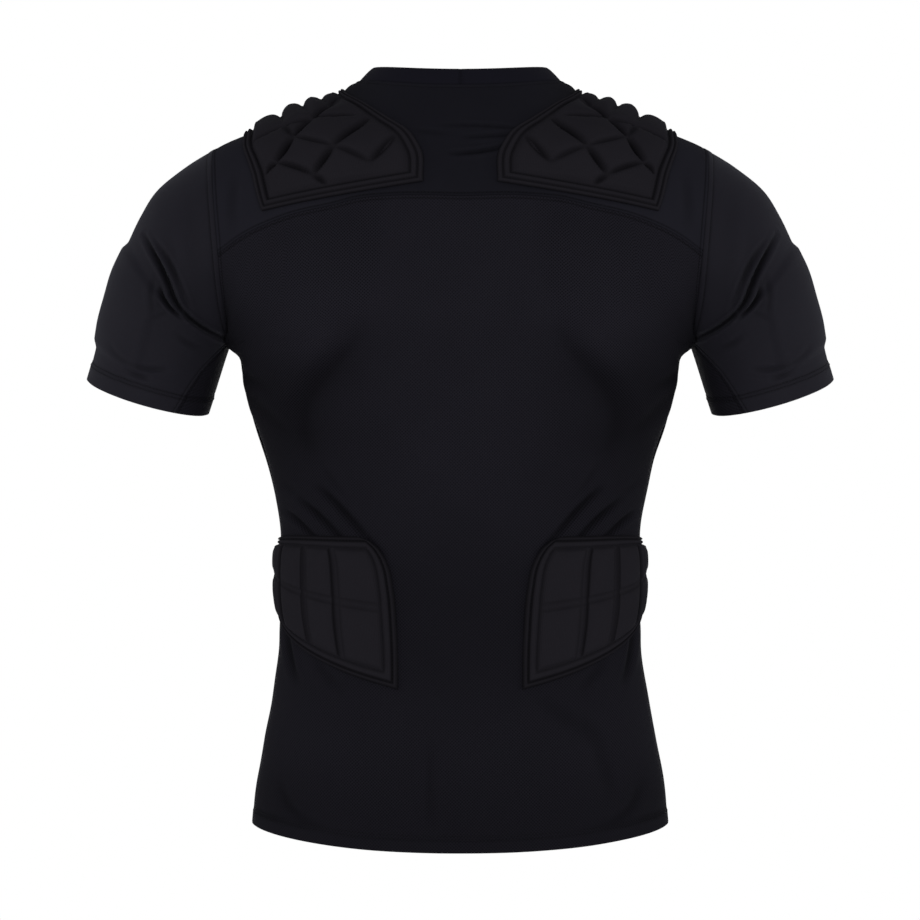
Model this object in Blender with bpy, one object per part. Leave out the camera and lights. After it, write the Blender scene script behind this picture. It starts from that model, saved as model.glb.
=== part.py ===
"""Short-sleeved padded rugby top, filled out as if worn, with no wearer inside.

The back faces -Y and the wearer's left is -X. The origin lies midway between the two shoulder
points, where the shoulders of a wearer carry the top. Sizes are in millimetres until a mesh is made.

A point of the body is found by its turn, the angle round a girth ring from the centre back in
degrees, and by its level, the height at which that ring crosses the side seam or the shoulder line.
"""

import bmesh
import bpy
import numpy as np
from mathutils import Vector
from mathutils.geometry import delaunay_2d_cdt

# Cloth, gaps and hems
MM = 0.001
CLOTH = 1.5
BAND_CLOTH = 2.4
SEAM_GAP = 0.3
WAIST_CLEARANCE, SHOULDER_CLEARANCE = 0.9, 1.2
HEM_HEIGHT = 13.0
HEM_EXTRA = 0.8

# Levels of the body, and the armhole that is cut through it
HEM_LEVEL = -537.0
NECK_LEVEL = 54.0
BAND_LEVEL = 65.0
SHOULDER_X, SHOULDER_LEVEL = 197.5, 0.0
ARMPIT_X, ARMPIT_LEVEL = 183.5, -155.0
ARMHOLE_BACK, ARMHOLE_FRONT = 66.0, 63.0

# Girth rings of the body, from the hem to the top of the neckband
GIRTH_COLUMNS = (
    "level", "half_breadth", "back_depth", "front_depth", "back_rise", "front_drop", "squareness",
)
GIRTHS = (
    (HEM_LEVEL, 165.5, 108, 104, -14, 8, 2.25),
    (-500, 161.5, 107, 103, -10, 6, 2.25),
    (-470, 156.0, 104, 102, -7, 4, 2.25),
    (-440, 150.0, 99, 100, -4, 2, 2.25),
    (-410, 145.5, 93, 98, -2, 0, 2.25),
    (-375, 143.5, 88, 97, 0, 0, 2.25),
    (-335, 142.5, 85, 97, 0, 0, 2.25),
    (-302, 143.5, 85, 98, 0, 0, 2.25),
    (-278, 148.0, 88, 100, 0, 0, 2.25),
    (-250, 154.5, 93, 104, 0, 0, 2.3),
    (-220, 164.0, 100, 108, 0, 0, 2.3),
    (-200, 170.0, 105, 111, 0, 0, 2.3),
    (-168, 176.0, 111, 114, 0, 0, 2.3),
    (ARMPIT_LEVEL, ARMPIT_X, 113, 114, 0, 1, 2.3),
    (-100, 188.5, 118, 113, 0, 18, 2.25),
    (-60, 192.0, 115, 109, 0, 38, 2.15),
    (-30, 195.0, 107, 103, 0, 52, 2.05),
    (SHOULDER_LEVEL, SHOULDER_X, 94, 94, 0, 64, 2.0),
    (10, 174.0, 89, 88, -1, 67, 2.0),
    (27, 132.0, 80, 77, -3, 70, 2.0),
    (42, 97.0, 71, 66, -6, 72, 2.0),
    (NECK_LEVEL, 81.0, 64, 58, -8, 72, 2.0),
    (BAND_LEVEL, 70.0, 58, 51, -6, 72, 2.0),
)

# Seam between the back panel and the yoke, by its distance from the centre back
YOKE_SEAM_COLUMNS = ("from_centre", "level")
YOKE_SEAM = ((0, -44.0), (54, -44.0), (81, -46.5), (97, -50.5), (139, -60.5), (173, -75.5), (188, -85.5))

# Rings of the sleeve, from the armhole (0) to the cuff (1)
CUFF_INNER_X, CUFF_INNER_Z = 202.0, -210.5
SLEEVE_COLUMNS = ("along", "outer_x", "outer_z", "back_depth", "front_depth", "back_drop")
SLEEVE = (
    (0.00, SHOULDER_X, SHOULDER_LEVEL, ARMHOLE_BACK, ARMHOLE_FRONT, 0),
    (0.13, 220.5, -14.5, 66.0, 63.5, 0),
    (0.26, 243.5, -33.5, 65.0, 63.0, 0),
    (0.37, 256.0, -53.0, 64.0, 62.5, 0),
    (0.50, 268.0, -78.5, 62.0, 61.0, 1.0),
    (0.60, 276.5, -97.5, 60.0, 60.0, 2.0),
    (0.69, 282.0, -117.0, 58.5, 58.5, 3.5),
    (0.78, 287.5, -136.0, 57.0, 57.0, 5.0),
    (0.88, 291.5, -157.0, 56.0, 56.0, 6.5),
    (1.00, 298.0, -182.5, 55.0, 55.0, 8.0),
)
CUFF_HEM = 0.93
GUSSET_AT_ARMHOLE, GUSSET_AT_CUFF = 15.0, 58.0

# Foam that lifts the outside of each sleeve over the upper arm
ARM_PAD_RISE = 2.6
ARM_PAD_ALONG = (0.46, 0.865)
ARM_PAD_AROUND = 80.0
ARM_PAD_SOFT_ALONG, ARM_PAD_SOFT_AROUND = 0.035, 9.0

# Folds as bent troughs, seen from the back, or from the front for the hidden side
FOLD_COLUMNS = ("x1", "z1", "x2", "z2", "x3", "z3", "depth", "half_width")
SLEEVE_FOLDS_BACK = (
    (252, -73, 238, -126, 184, -153, 4.5, 7.0),
    (238, -82, 222, -98, 217, -124, 2.0, 6.0),
)
SLEEVE_FOLDS_FRONT = (
    (246, -70, 232, -118, 186, -150, 3.5, 8.0),
    (228, -60, 214, -90, 206, -120, 2.0, 7.0),
)
WAIST_FOLDS_BACK = (
    (122, -286, 108, -298, 85, -307, 2.6, 5.5),
    (106, -275, 88, -291, 70, -307, 2.6, 5.5),
)
WAIST_FOLDS_FRONT = (
    (126, -280, 108, -300, 78, -308, 2.2, 7.0),
    (104, -262, 84, -284, 60, -300, 2.0, 7.0),
)

# Shoulder pad: where its outer and inner edges lie, from the back (-1) over the shoulder (0) to the front (1)
SHOULDER_PAD_COLUMNS = ("across", "outer_turn", "outer_level", "inner_turn", "inner_level")
SHOULDER_PAD = (
    (-1.00, 42.0, -52.0, 6.9, -33.5),
    (-0.82, 45.5, -33.5, 8.5, -7.5),
    (-0.72, 47.6, -25.0, 12.0, 6.0),
    (-0.58, 52.5, -12.5, 21.0, 18.8),
    (-0.42, 60.5, -0.5, 36.0, 31.2),
    (-0.20, 75.0, 7.6, 63.0, 41.0),
    (0.00, 90.0, 10.0, 90.0, 45.0),
    (0.20, 105.0, 7.6, 115.0, 47.5),
    (0.42, 119.5, -0.5, 142.0, 37.0),
    (0.58, 127.5, -12.5, 158.0, 23.0),
    (0.72, 132.4, -25.0, 167.0, 8.0),
    (0.82, 134.5, -33.5, 171.0, -7.0),
    (1.00, 138.0, -52.0, 173.0, -33.5),
)
SHOULDER_PAD_WIDTH, SHOULDER_PAD_HALF_LENGTH = 112.0, 142.0
SHOULDER_BLOCK = 7.6

# Quilting lines of the shoulder pad's back half, through shares of its width and half length
QUILT_LINES = {
    "rising_outer": ((0.11, -0.74), (0.18, -0.68), (0.40, -0.47), (0.56, -0.35), (0.84, -0.04)),
    "rising_middle": ((0.34, -0.91), (0.40, -0.84), (0.55, -0.69), (0.86, -0.52)),
    "rising_inner": ((0.60, -0.91), (0.70, -0.80), (0.89, -0.72)),
    "falling_top": ((0.60, 0.00), (0.56, -0.35), (0.86, -0.43)),
    "falling_middle": (
        (0.38, 0.00), (0.36, -0.28), (0.40, -0.47), (0.55, -0.69), (0.70, -0.80), (0.91, -0.89),
    ),
    "falling_outer": ((0.18, -0.68), (0.40, -0.84), (0.46, -0.91)),
    "crossing_outer": ((0.11, -0.22), (0.36, -0.28)),
}

# Waist pad: its ends by height share, its lower and upper edges by turn
WAIST_END_COLUMNS = ("share", "front_turn", "back_turn")
WAIST_ENDS = (
    (0.00, 108.0, 16.5),
    (0.35, 119.0, 17.3),
    (0.65, 119.5, 18.8),
    (0.88, 114.0, 22.0),
    (1.00, 104.0, 28.5),
)
WAIST_EDGE_COLUMNS = ("turn", "bottom", "top")
WAIST_EDGES = (
    (16, -424, -310.5),
    (34, -413, -310.5),
    (63, -391, -310.5),
    (82, -373, -311),
    (100, -357, -312),
    (120, -341, -316),
)
WAIST_UPRIGHT_GROOVES = (0.22, 0.42, 0.60, 0.765)
WAIST_LEVEL_GROOVE = 0.5
WAIST_BLOCK = 5.8

# Section of a pad's sewn border and of its grooves
EDGE_RISE = 1.2
BORDER_RISE, BORDER_CREST = 3.4, 4.5
BORDER_GROOVE_RISE, BORDER_WIDTH = 1.7, 9.0
BLOCK_SHOULDER = 4.0
GROOVE_HALF_WIDTH = 4.0
GROOVE_DEPTH_SHARE, NODE_DEPTH_SHARE = 0.72, 0.30
CROWN = 0.9

# How finely each piece is divided
BACK_COLUMNS, FRONT_COLUMNS = 26, 26
GUSSET_COLUMNS = 4
BACK_LEVELS = (
    HEM_LEVEL, HEM_LEVEL + HEM_HEIGHT, -505, -472, -440, -408, -372, -335, -310, -300, -291, -282, -270, -245,
    -218, -190, -168, ARMPIT_LEVEL,
)
FRONT_LEVELS = (
    HEM_LEVEL, HEM_LEVEL + HEM_HEIGHT, -490, -440, -400, -355, -312, -298, -284, -268, -235, -200, -168,
    ARMPIT_LEVEL,
)
SHOULDER_ROWS = 6
BAND_LEVELS = (NECK_LEVEL, 60.0, BAND_LEVEL)
# Angles round the armhole, from the armpit up to the shoulder point, where panels and sleeve share points
BACK_ARMHOLE = (165, 151, 137, 123, 110)
YOKE_ARMHOLE = (81, 64, 48, 32, 16, 0)
FRONT_ARMHOLE = (165, 148, 131, 114, 97, 80, 64, 48, 32, 16, 0)
SLEEVE_ROWS = (0.0, 0.07, 0.16, 0.26, 0.36, 0.445, 0.49, 0.58, 0.67, 0.76, 0.845, 0.89, CUFF_HEM, 1.0)
PATTERN_STEP = 13.0

# Colours (linear) and roughness of the cloths
FINISHES = {
    "mesh_knit": ((0.0095, 0.0088, 0.0125), 0.62),
    "smooth_knit": ((0.0085, 0.0085, 0.0120), 0.50),
    "sleeve_knit": ((0.0125, 0.0118, 0.0155), 0.46),
    "band_knit": ((0.0075, 0.0072, 0.0110), 0.58),
    "pad_cover": ((0.0115, 0.0105, 0.0125), 0.70),
}

TURN_STEP, LEVEL_STEP, ROUND_STEP, ALONG_STEP = 0.5, 0.5, 0.5, 0.004


def table(columns, rows):
    """Columns of a table by name."""
    return dict(zip(columns, np.array(rows, float).T))


GIRTH = table(GIRTH_COLUMNS, GIRTHS)
SEAM = table(YOKE_SEAM_COLUMNS, YOKE_SEAM)
ARM = table(SLEEVE_COLUMNS, SLEEVE)
PAD_EDGES = table(SHOULDER_PAD_COLUMNS, SHOULDER_PAD)
ENDS = table(WAIST_END_COLUMNS, WAIST_ENDS)
EDGES = table(WAIST_EDGE_COLUMNS, WAIST_EDGES)


def smooth(at, knots, values):
    """Smooth curve through a table's rows."""
    slopes = np.gradient(values, knots)
    i = np.clip(np.searchsorted(knots, at) - 1, 0, len(knots) - 2)
    step = knots[i + 1] - knots[i]
    t = (at - knots[i]) / step
    start = (1 + 2 * t) * (1 - t) ** 2 * values[i] + t * (1 - t) ** 2 * step * slopes[i]
    end = t * t * (3 - 2 * t) * values[i + 1] + t * t * (t - 1) * step * slopes[i + 1]
    return start + end


def soft_step(at, middle, half_width):
    """0 before the middle, 1 after it, with a soft change between."""
    t = np.clip((at - middle) / (2 * half_width) + 0.5, 0, 1)
    return t * t * (3 - 2 * t)


def girth(name, level):
    return smooth(level, GIRTH["level"], GIRTH[name])


def armhole_x(z):
    """The armhole lies in a leaning plane, and this is that plane's distance from the centre."""
    return SHOULDER_X + (z - SHOULDER_LEVEL) * (SHOULDER_X - ARMPIT_X) / (SHOULDER_LEVEL - ARMPIT_LEVEL)


def ring(level, front):
    """Half breadth, depth, lift, armhole share and squareness of one half of a girth ring."""
    depth = np.where(front, girth("front_depth", level), girth("back_depth", level))
    lift = np.where(front, -girth("front_drop", level), girth("back_rise", level))
    power = girth("squareness", level)
    middle = (SHOULDER_LEVEL + ARMPIT_LEVEL) / 2
    half = (SHOULDER_LEVEL - ARMPIT_LEVEL) / 2
    height = np.sqrt(np.clip(1 - ((level - middle) / half) ** 2, 0, None))
    share = np.where(front, ARMHOLE_FRONT, ARMHOLE_BACK) * height / depth
    through_armhole = armhole_x(level + lift * share**2) / (1 - share**power) ** (1 / power)
    breadth = np.where(share > 0, through_armhole, girth("half_breadth", level))
    return breadth, depth, lift, share, power


def body(turn, level):
    """Points of the body's outside."""
    turn, level = np.broadcast_arrays(np.asarray(turn, float), np.asarray(level, float))
    sine, cosine = np.sin(np.radians(turn)), np.cos(np.radians(turn))
    breadth, depth, lift, _, power = ring(level, cosine < 0)
    share = np.abs(cosine) ** (2 / power)
    x = breadth * np.sign(sine) * np.abs(sine) ** (2 / power)
    y = -depth * np.sign(cosine) * share
    return np.stack([x, y, level + lift * share**2], -1)


def edge_turn(level, front):
    """Turn at which a panel ends, at the side seam, the armhole or the shoulder seam."""
    _, _, _, share, power = ring(np.asarray(level, float), front)
    turn = np.degrees(np.arccos(share ** (power / 2)))
    return 180 - turn if front else turn


def armhole_level(around):
    """Level of the armhole's edge, by the angle round it from the shoulder point."""
    half = (SHOULDER_LEVEL - ARMPIT_LEVEL) / 2
    return SHOULDER_LEVEL - half * (1 - np.cos(np.radians(around)))


def armhole(around):
    """Points of the right armhole's edge, by the angle round it from the shoulder point towards the back."""
    sine = np.sin(np.radians(around))
    level = armhole_level(around)
    front = sine < 0
    _, depth, lift, _, _ = ring(level, front)
    y = -np.where(front, ARMHOLE_FRONT, ARMHOLE_BACK) * sine
    z = level + lift * (y / depth) ** 2
    return np.stack([armhole_x(z), y, z], -1)


def sleeve_ring(around, along):
    """Points of a plain oval sleeve between its outer and inner lines."""
    sine, cosine = np.sin(np.radians(around)), np.cos(np.radians(around))
    outer_x = smooth(along, ARM["along"], ARM["outer_x"])
    outer_z = smooth(along, ARM["along"], ARM["outer_z"])
    inner_x = ARMPIT_X + (CUFF_INNER_X - ARMPIT_X) * along
    inner_z = ARMPIT_LEVEL + (CUFF_INNER_Z - ARMPIT_LEVEL) * along
    back = smooth(along, ARM["along"], ARM["back_depth"])
    front = smooth(along, ARM["along"], ARM["front_depth"])
    drop = smooth(along, ARM["along"], ARM["back_drop"])
    x = (outer_x + inner_x) / 2 + (outer_x - inner_x) / 2 * cosine
    z = (outer_z + inner_z) / 2 + (outer_z - inner_z) / 2 * cosine - drop * sine
    return np.stack([x, -np.where(sine < 0, front, back) * sine, z], -1)


def sleeve(around, along):
    """Points of the right sleeve's outside: its first ring is the armhole's edge."""
    around, along = np.broadcast_arrays(np.asarray(around, float), np.asarray(along, float))
    fit = armhole(around) - sleeve_ring(around, np.zeros_like(along))
    return sleeve_ring(around, along) + fit * ((1 - along) ** 3)[..., None]


def outward(surface, u, v, du, dv):
    """Unit normals of a surface."""
    across = surface(u + du, v) - surface(u - du, v)
    up = surface(u, v + dv) - surface(u, v - dv)
    normal = np.cross(across, up)
    return normal / np.linalg.norm(normal, axis=-1, keepdims=True)


def body_normal(turn, level):
    return outward(body, turn, level, TURN_STEP, LEVEL_STEP)


def fold_depth(points, folds):
    """How far the cloth sinks at each point, seen along Y, from a table of bent troughs."""
    spots = np.stack([np.abs(points[..., 0]), points[..., 2]], -1)
    t = np.linspace(0, 1, 25)[:, None]
    sunk = np.zeros(points.shape[:-1])
    for row in folds:
        fold = dict(zip(FOLD_COLUMNS, row))
        start, bend, end = (np.array([fold[f"x{k}"], fold[f"z{k}"]], float) for k in (1, 2, 3))
        path = (1 - t) ** 2 * start + 2 * t * (1 - t) * bend + t**2 * end
        away = np.linalg.norm(spots[..., None, :] - path, axis=-1)
        nearest = t[away.argmin(-1), 0]
        fade = np.sin(np.pi * np.clip(0.08 + 0.84 * nearest, 0, 1)) ** 0.5
        sunk = np.maximum(sunk, fold["depth"] * fade * np.exp(-((away.min(-1) / fold["half_width"]) ** 2)))
    return sunk


def ease(grid, closed=False):
    """Draws a panel's edges in by half the seam gap."""
    grid = grid.copy()
    edges = [(0, 1, 0), (-1, -2, 0)]
    if not closed:
        edges += [(0, 1, 1), (-1, -2, 1)]
    for edge, inner, axis in edges:
        edge_line = grid[edge] if axis == 0 else grid[:, edge]
        inner_line = grid[inner] if axis == 0 else grid[:, inner]
        step = inner_line - edge_line
        edge_line += step / np.linalg.norm(step, axis=-1, keepdims=True) * SEAM_GAP / 2
    return grid


def finish_of(name):
    """Principled material of one cloth."""
    if name in bpy.data.materials:
        return bpy.data.materials[name]
    colour, roughness = FINISHES[name]
    material = bpy.data.materials.new(name)
    material.use_nodes = True
    shader = material.node_tree.nodes["Principled BSDF"]
    shader.inputs["Base Color"].default_value = (*colour, 1)
    shader.inputs["Roughness"].default_value = roughness
    shader.inputs["Metallic"].default_value = 0
    return material


def solid(name, points, faces, finish, mirrored=False):
    """One closed piece of cloth or padding as a named object."""
    points = np.asarray(points, float) * MM
    if mirrored:
        points = points * (-1, 1, 1)
    shape = bmesh.new()
    verts = [shape.verts.new(point) for point in points]
    for face in faces:
        shape.faces.new([verts[i] for i in face])
    bmesh.ops.recalc_face_normals(shape, faces=shape.faces)
    mesh = bpy.data.meshes.new(name)
    shape.to_mesh(mesh)
    shape.free()
    mesh.shade_smooth()
    mesh.set_sharp_from_angle(angle=np.radians(50))
    mesh.materials.append(finish_of(finish))
    piece = bpy.data.objects.new(name, mesh)
    bpy.context.scene.collection.objects.link(piece)
    piece.parent = bpy.data.objects["shoulder_line"]
    return piece


def wall(name, outer, inner, finish, closed=False, mirrored=False):
    """Cloth wall between an outer and an inner grid of points, rows by columns."""
    rows, columns = outer.shape[:2]
    outer, inner = ease(outer, closed), ease(inner, closed)
    count = rows * columns
    points = np.concatenate([outer.reshape(-1, 3), inner.reshape(-1, 3)])
    faces = []
    for r in range(rows - 1):
        for c in range(columns if closed else columns - 1):
            near, far = r * columns + c, r * columns + (c + 1) % columns
            quad = (near, far, far + columns, near + columns)
            faces.append(quad)
            faces.append(tuple(i + count for i in reversed(quad)))
    rims = [[r * columns + c for c in range(columns)] for r in (0, rows - 1)]
    if not closed:
        rims += [[r * columns + c for r in range(rows)] for c in (0, columns - 1)]
    for rim in rims:
        follow = rim[1:] + rim[:1] if closed else rim[1:]
        faces += [(a, b, b + count, a + count) for a, b in zip(rim, follow)]
    return solid(name, points, faces, finish, mirrored)


def body_wall(name, turn, level, finish, folds, thickness):
    """Panel of the body with its folds."""
    points, normal = body(turn, level), body_normal(turn, level)
    outer = points - normal * fold_depth(points, folds)[..., None]
    wall(name, outer, outer - normal * thickness[..., None], finish)


def hem_thickness(level):
    return CLOTH + HEM_EXTRA * (level < HEM_LEVEL + HEM_HEIGHT + 1)


def yoke_seam_levels(shares):
    """Level of the yoke seam in each column of the back, where its distance from the centre agrees."""
    level = np.full_like(shares, YOKE_SEAM[0][1])
    for _ in range(12):
        from_centre = np.abs(body(shares * edge_turn(level, False), level)[..., 0])
        level = smooth(from_centre, SEAM["from_centre"], SEAM["level"])
    return level


def back_panel():
    shares = np.linspace(-1, 1, BACK_COLUMNS + 1)
    seam = yoke_seam_levels(shares)
    rows = [np.full_like(shares, level) for level in BACK_LEVELS]
    heights = (armhole_level(BACK_ARMHOLE) - ARMPIT_LEVEL) / (seam[0] - ARMPIT_LEVEL)
    rows += [ARMPIT_LEVEL + (seam - ARMPIT_LEVEL) * height for height in (*heights, 1)]
    level = np.array(rows)
    turn = shares * edge_turn(level, False)
    body_wall("back_panel", turn, level, "mesh_knit", WAIST_FOLDS_BACK, hem_thickness(level))


def back_yoke():
    shares = np.linspace(-1, 1, BACK_COLUMNS + 1)
    seam = yoke_seam_levels(shares)
    lower = (armhole_level(YOKE_ARMHOLE) - seam[0]) / (NECK_LEVEL - seam[0])
    upper = np.linspace(lower[-1], 1, SHOULDER_ROWS + 1)[1:]
    level = np.array([seam + (NECK_LEVEL - seam) * height for height in (0, *lower, *upper)])
    turn = shares * edge_turn(level, False)
    body_wall("back_yoke", turn, level, "smooth_knit", (), np.full_like(level, CLOTH))


def front_panel():
    shares = np.linspace(1, -1, FRONT_COLUMNS + 1)
    upper = np.linspace(SHOULDER_LEVEL, NECK_LEVEL, SHOULDER_ROWS + 1)[1:]
    heights = (*FRONT_LEVELS, *armhole_level(FRONT_ARMHOLE), *upper)
    level = np.array([np.full_like(shares, height) for height in heights])
    turn = 180 - shares * (180 - edge_turn(level, True))
    body_wall("front_panel", turn, level, "mesh_knit", WAIST_FOLDS_FRONT, hem_thickness(level))


def neckband():
    back, front = np.linspace(-90, 90, BACK_COLUMNS + 1), np.linspace(90, 270, FRONT_COLUMNS + 1)
    turn, level = np.meshgrid(np.concatenate([back[:-1], front[:-1]]), BAND_LEVELS)
    points, normal = body(turn, level), body_normal(turn, level)
    wall("neckband", points, points - normal * BAND_CLOTH, "band_knit", closed=True)


def gusset_half(along):
    """Half the angle that the underarm gusset takes of a sleeve ring."""
    return GUSSET_AT_ARMHOLE + (GUSSET_AT_CUFF - GUSSET_AT_ARMHOLE) * along


def arm_pad_rise(around, along):
    """Height of the upper-arm foam under the sleeve's outside."""
    first, last = ARM_PAD_ALONG
    lengthways = soft_step(along, first, ARM_PAD_SOFT_ALONG) - soft_step(along, last, ARM_PAD_SOFT_ALONG)
    return ARM_PAD_RISE * lengthways * (1 - soft_step(np.abs(around), ARM_PAD_AROUND, ARM_PAD_SOFT_AROUND))


def sleeve_wall(name, around, along, finish, mirrored):
    points = sleeve(around, along)
    normal = outward(sleeve, around, along, ROUND_STEP, ALONG_STEP)
    lean = Vector((SHOULDER_LEVEL - ARMPIT_LEVEL, 0, ARMPIT_X - SHOULDER_X)).normalized()
    in_plane = normal[0] - (normal[0] @ np.array(lean))[:, None] * np.array(lean)
    normal[0] = in_plane / np.linalg.norm(in_plane, axis=-1, keepdims=True)
    back = fold_depth(points, SLEEVE_FOLDS_BACK)
    front = fold_depth(points, SLEEVE_FOLDS_FRONT)
    sunk = np.where(points[..., 1] < 0, back, front) * np.clip(along / SLEEVE_ROWS[2], 0, 1)
    cloth = points - normal * sunk[..., None]
    thickness = CLOTH + HEM_EXTRA * (along >= CUFF_HEM)
    outer = cloth + normal * arm_pad_rise(around, along)[..., None]
    wall(name, outer, cloth - normal * thickness[..., None], finish, mirrored=mirrored)


def sleeve_angles():
    """Angles of the sleeve's columns at the armhole, from the front of the gusset to its back."""
    seam = yoke_seam_levels(np.ones(1))
    half = (SHOULDER_LEVEL - ARMPIT_LEVEL) / 2
    at_seam = np.degrees(np.arccos(1 - (SHOULDER_LEVEL - seam) / half))
    front = -np.array(FRONT_ARMHOLE, float)
    return np.concatenate([front, YOKE_ARMHOLE[-2::-1], at_seam, BACK_ARMHOLE[::-1]])


def sleeves(side, mirrored):
    along = np.array(SLEEVE_ROWS)[:, None]
    reach = 180 - gusset_half(along)
    main = sleeve_angles() / (180 - GUSSET_AT_ARMHOLE) * reach
    under = 180 + np.linspace(-1, 1, GUSSET_COLUMNS + 1) * gusset_half(along)
    sleeve_wall(f"sleeve_{side}", main, along + 0 * main, "sleeve_knit", mirrored)
    sleeve_wall(f"underarm_gusset_{side}", under, along + 0 * under, "mesh_knit", mirrored)


def shoulder_place(width_share, across):
    """Turn and level of a place on the shoulder pad."""
    edge = {name: smooth(across, PAD_EDGES["across"], PAD_EDGES[name]) for name in SHOULDER_PAD_COLUMNS[1:]}
    turn = edge["outer_turn"] + (edge["inner_turn"] - edge["outer_turn"]) * width_share
    level = edge["outer_level"] + (edge["inner_level"] - edge["outer_level"]) * width_share
    return turn, level


def border_rise(inset, block):
    """Height of a pad by the distance from its edge: sewn border, its groove, then the block."""
    at = (0, BORDER_CREST, BORDER_WIDTH, BORDER_WIDTH + BLOCK_SHOULDER, BORDER_WIDTH + 3 * BLOCK_SHOULDER)
    rise = (EDGE_RISE, BORDER_RISE, BORDER_GROOVE_RISE, block - CROWN, block)
    return np.interp(inset, at, rise)


def quilt_segments():
    """Straight quilting segments on the flat pattern, both halves, in millimetres."""
    size = np.array([SHOULDER_PAD_WIDTH, SHOULDER_PAD_HALF_LENGTH])
    for line in QUILT_LINES.values():
        for start, end in zip(line, line[1:]):
            for half in (1, -1):
                yield np.array(start) * size * (1, half), np.array(end) * size * (1, half)


def shoulder_rise(spots):
    """Height of the quilted shoulder pad over its flat pattern."""
    half = SHOULDER_PAD_HALF_LENGTH
    inset = np.minimum.reduce(
        [spots[:, 0], SHOULDER_PAD_WIDTH - spots[:, 0], spots[:, 1] + half, half - spots[:, 1]]
    )
    rise = border_rise(inset, SHOULDER_BLOCK)
    groove = np.zeros(len(spots))
    for start, end in quilt_segments():
        run = end - start
        t = np.clip((spots - start) @ run / (run @ run), 0, 1)
        away = np.linalg.norm(spots - (start + t[:, None] * run), axis=-1)
        depth = NODE_DEPTH_SHARE + (GROOVE_DEPTH_SHARE - NODE_DEPTH_SHARE) * (1 - (2 * t - 1) ** 2)
        groove = np.maximum(groove, depth * np.clip(1 - away / GROOVE_HALF_WIDTH, 0, 1))
    inside = np.clip((inset - BORDER_WIDTH) / BLOCK_SHOULDER, 0, 1)
    return rise - SHOULDER_BLOCK * groove * inside


def rectangle(inset):
    """Points round the flat pattern of the shoulder pad at a distance from its edge."""
    left, right = inset, SHOULDER_PAD_WIDTH - inset
    low, high = inset - SHOULDER_PAD_HALF_LENGTH, SHOULDER_PAD_HALF_LENGTH - inset
    corners = [(left, low), (right, low), (right, high), (left, high)]
    loop = []
    for start, end in zip(corners, corners[1:] + corners[:1]):
        count = max(2, round(np.hypot(end[0] - start[0], end[1] - start[1]) / PATTERN_STEP))
        loop += [np.array(start) + (np.array(end) - start) * k / count for k in range(count)]
    return loop


def triangulate(loops, lines, loose):
    """Flat triangles that keep to closed loops, open lines and loose points."""
    points, edges = [], []
    for loop in loops:
        first = len(points)
        points += loop
        edges += [(first + k, first + (k + 1) % len(loop)) for k in range(len(loop))]
    for line in lines:
        first = len(points)
        points += line
        edges += [(first + k, first + k + 1) for k in range(len(line) - 1)]
    points += loose
    found = delaunay_2d_cdt([Vector(point) for point in points], edges, [], 0, 1e-4)
    return np.array([tuple(point) for point in found[0]]), [tuple(face) for face in found[2]]


def quilted_top():
    """Flat triangles of the shoulder pad's top, with folds along its border and grooves."""
    lines = []
    for start, end in quilt_segments():
        run = end - start
        side = np.array([-run[1], run[0]]) / np.linalg.norm(run) * GROOVE_HALF_WIDTH
        lines.append([start, (start + end) / 2, end])
        for offset in (side, -side):
            lines.append([start + run * 0.2 + offset, start + run * 0.8 + offset])
    loops = [rectangle(inset) for inset in (0, BORDER_CREST, BORDER_WIDTH, BORDER_WIDTH + BLOCK_SHOULDER)]
    return triangulate(loops, lines, [])


def plain_underside():
    """Flat triangles of the shoulder pad's plain underside."""
    across = np.arange(PATTERN_STEP, SHOULDER_PAD_WIDTH - PATTERN_STEP / 2, PATTERN_STEP)
    half = SHOULDER_PAD_HALF_LENGTH
    lengthways = np.arange(PATTERN_STEP - half, half - PATTERN_STEP / 2, PATTERN_STEP)
    return triangulate([rectangle(0)], [], [np.array((p, q)) for p in across for q in lengthways])


def shoulder_pad(side, mirrored):
    def placed(spots, rise):
        turn, level = shoulder_place(spots[:, 0] / SHOULDER_PAD_WIDTH, spots[:, 1] / SHOULDER_PAD_HALF_LENGTH)
        return body(turn, level) + body_normal(turn, level) * np.reshape(rise, (-1, 1))

    top, top_faces = quilted_top()
    under, under_faces = plain_underside()
    count = len(top)
    low = np.full(len(under), SHOULDER_CLEARANCE)
    points = np.concatenate([placed(top, SHOULDER_CLEARANCE + shoulder_rise(top)), placed(under, low)])
    faces = top_faces + [tuple(i + count for i in reversed(face)) for face in under_faces]
    rim = rectangle(0)
    upper = [int(np.linalg.norm(top - spot, axis=1).argmin()) for spot in rim]
    lower = [int(np.linalg.norm(under - spot, axis=1).argmin()) + count for spot in rim]
    for k, corner in enumerate(upper):
        k_next = (k + 1) % len(rim)
        faces.append((corner, upper[k_next], lower[k_next], lower[k]))
    solid(f"shoulder_pad_{side}", points, faces, "pad_cover", mirrored)


def waist_place(length_share, height_share):
    """Turn and level of a place on the waist pad, from its front end to its back edge."""
    front = smooth(height_share, ENDS["share"], ENDS["front_turn"])
    back = smooth(height_share, ENDS["share"], ENDS["back_turn"])
    turn = front + (back - front) * length_share
    bottom = smooth(turn, EDGES["turn"], EDGES["bottom"])
    top = smooth(turn, EDGES["turn"], EDGES["top"])
    return turn, bottom + (top - bottom) * height_share


def waist_point(length_share, height_share):
    return body(*waist_place(length_share, height_share))


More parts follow.
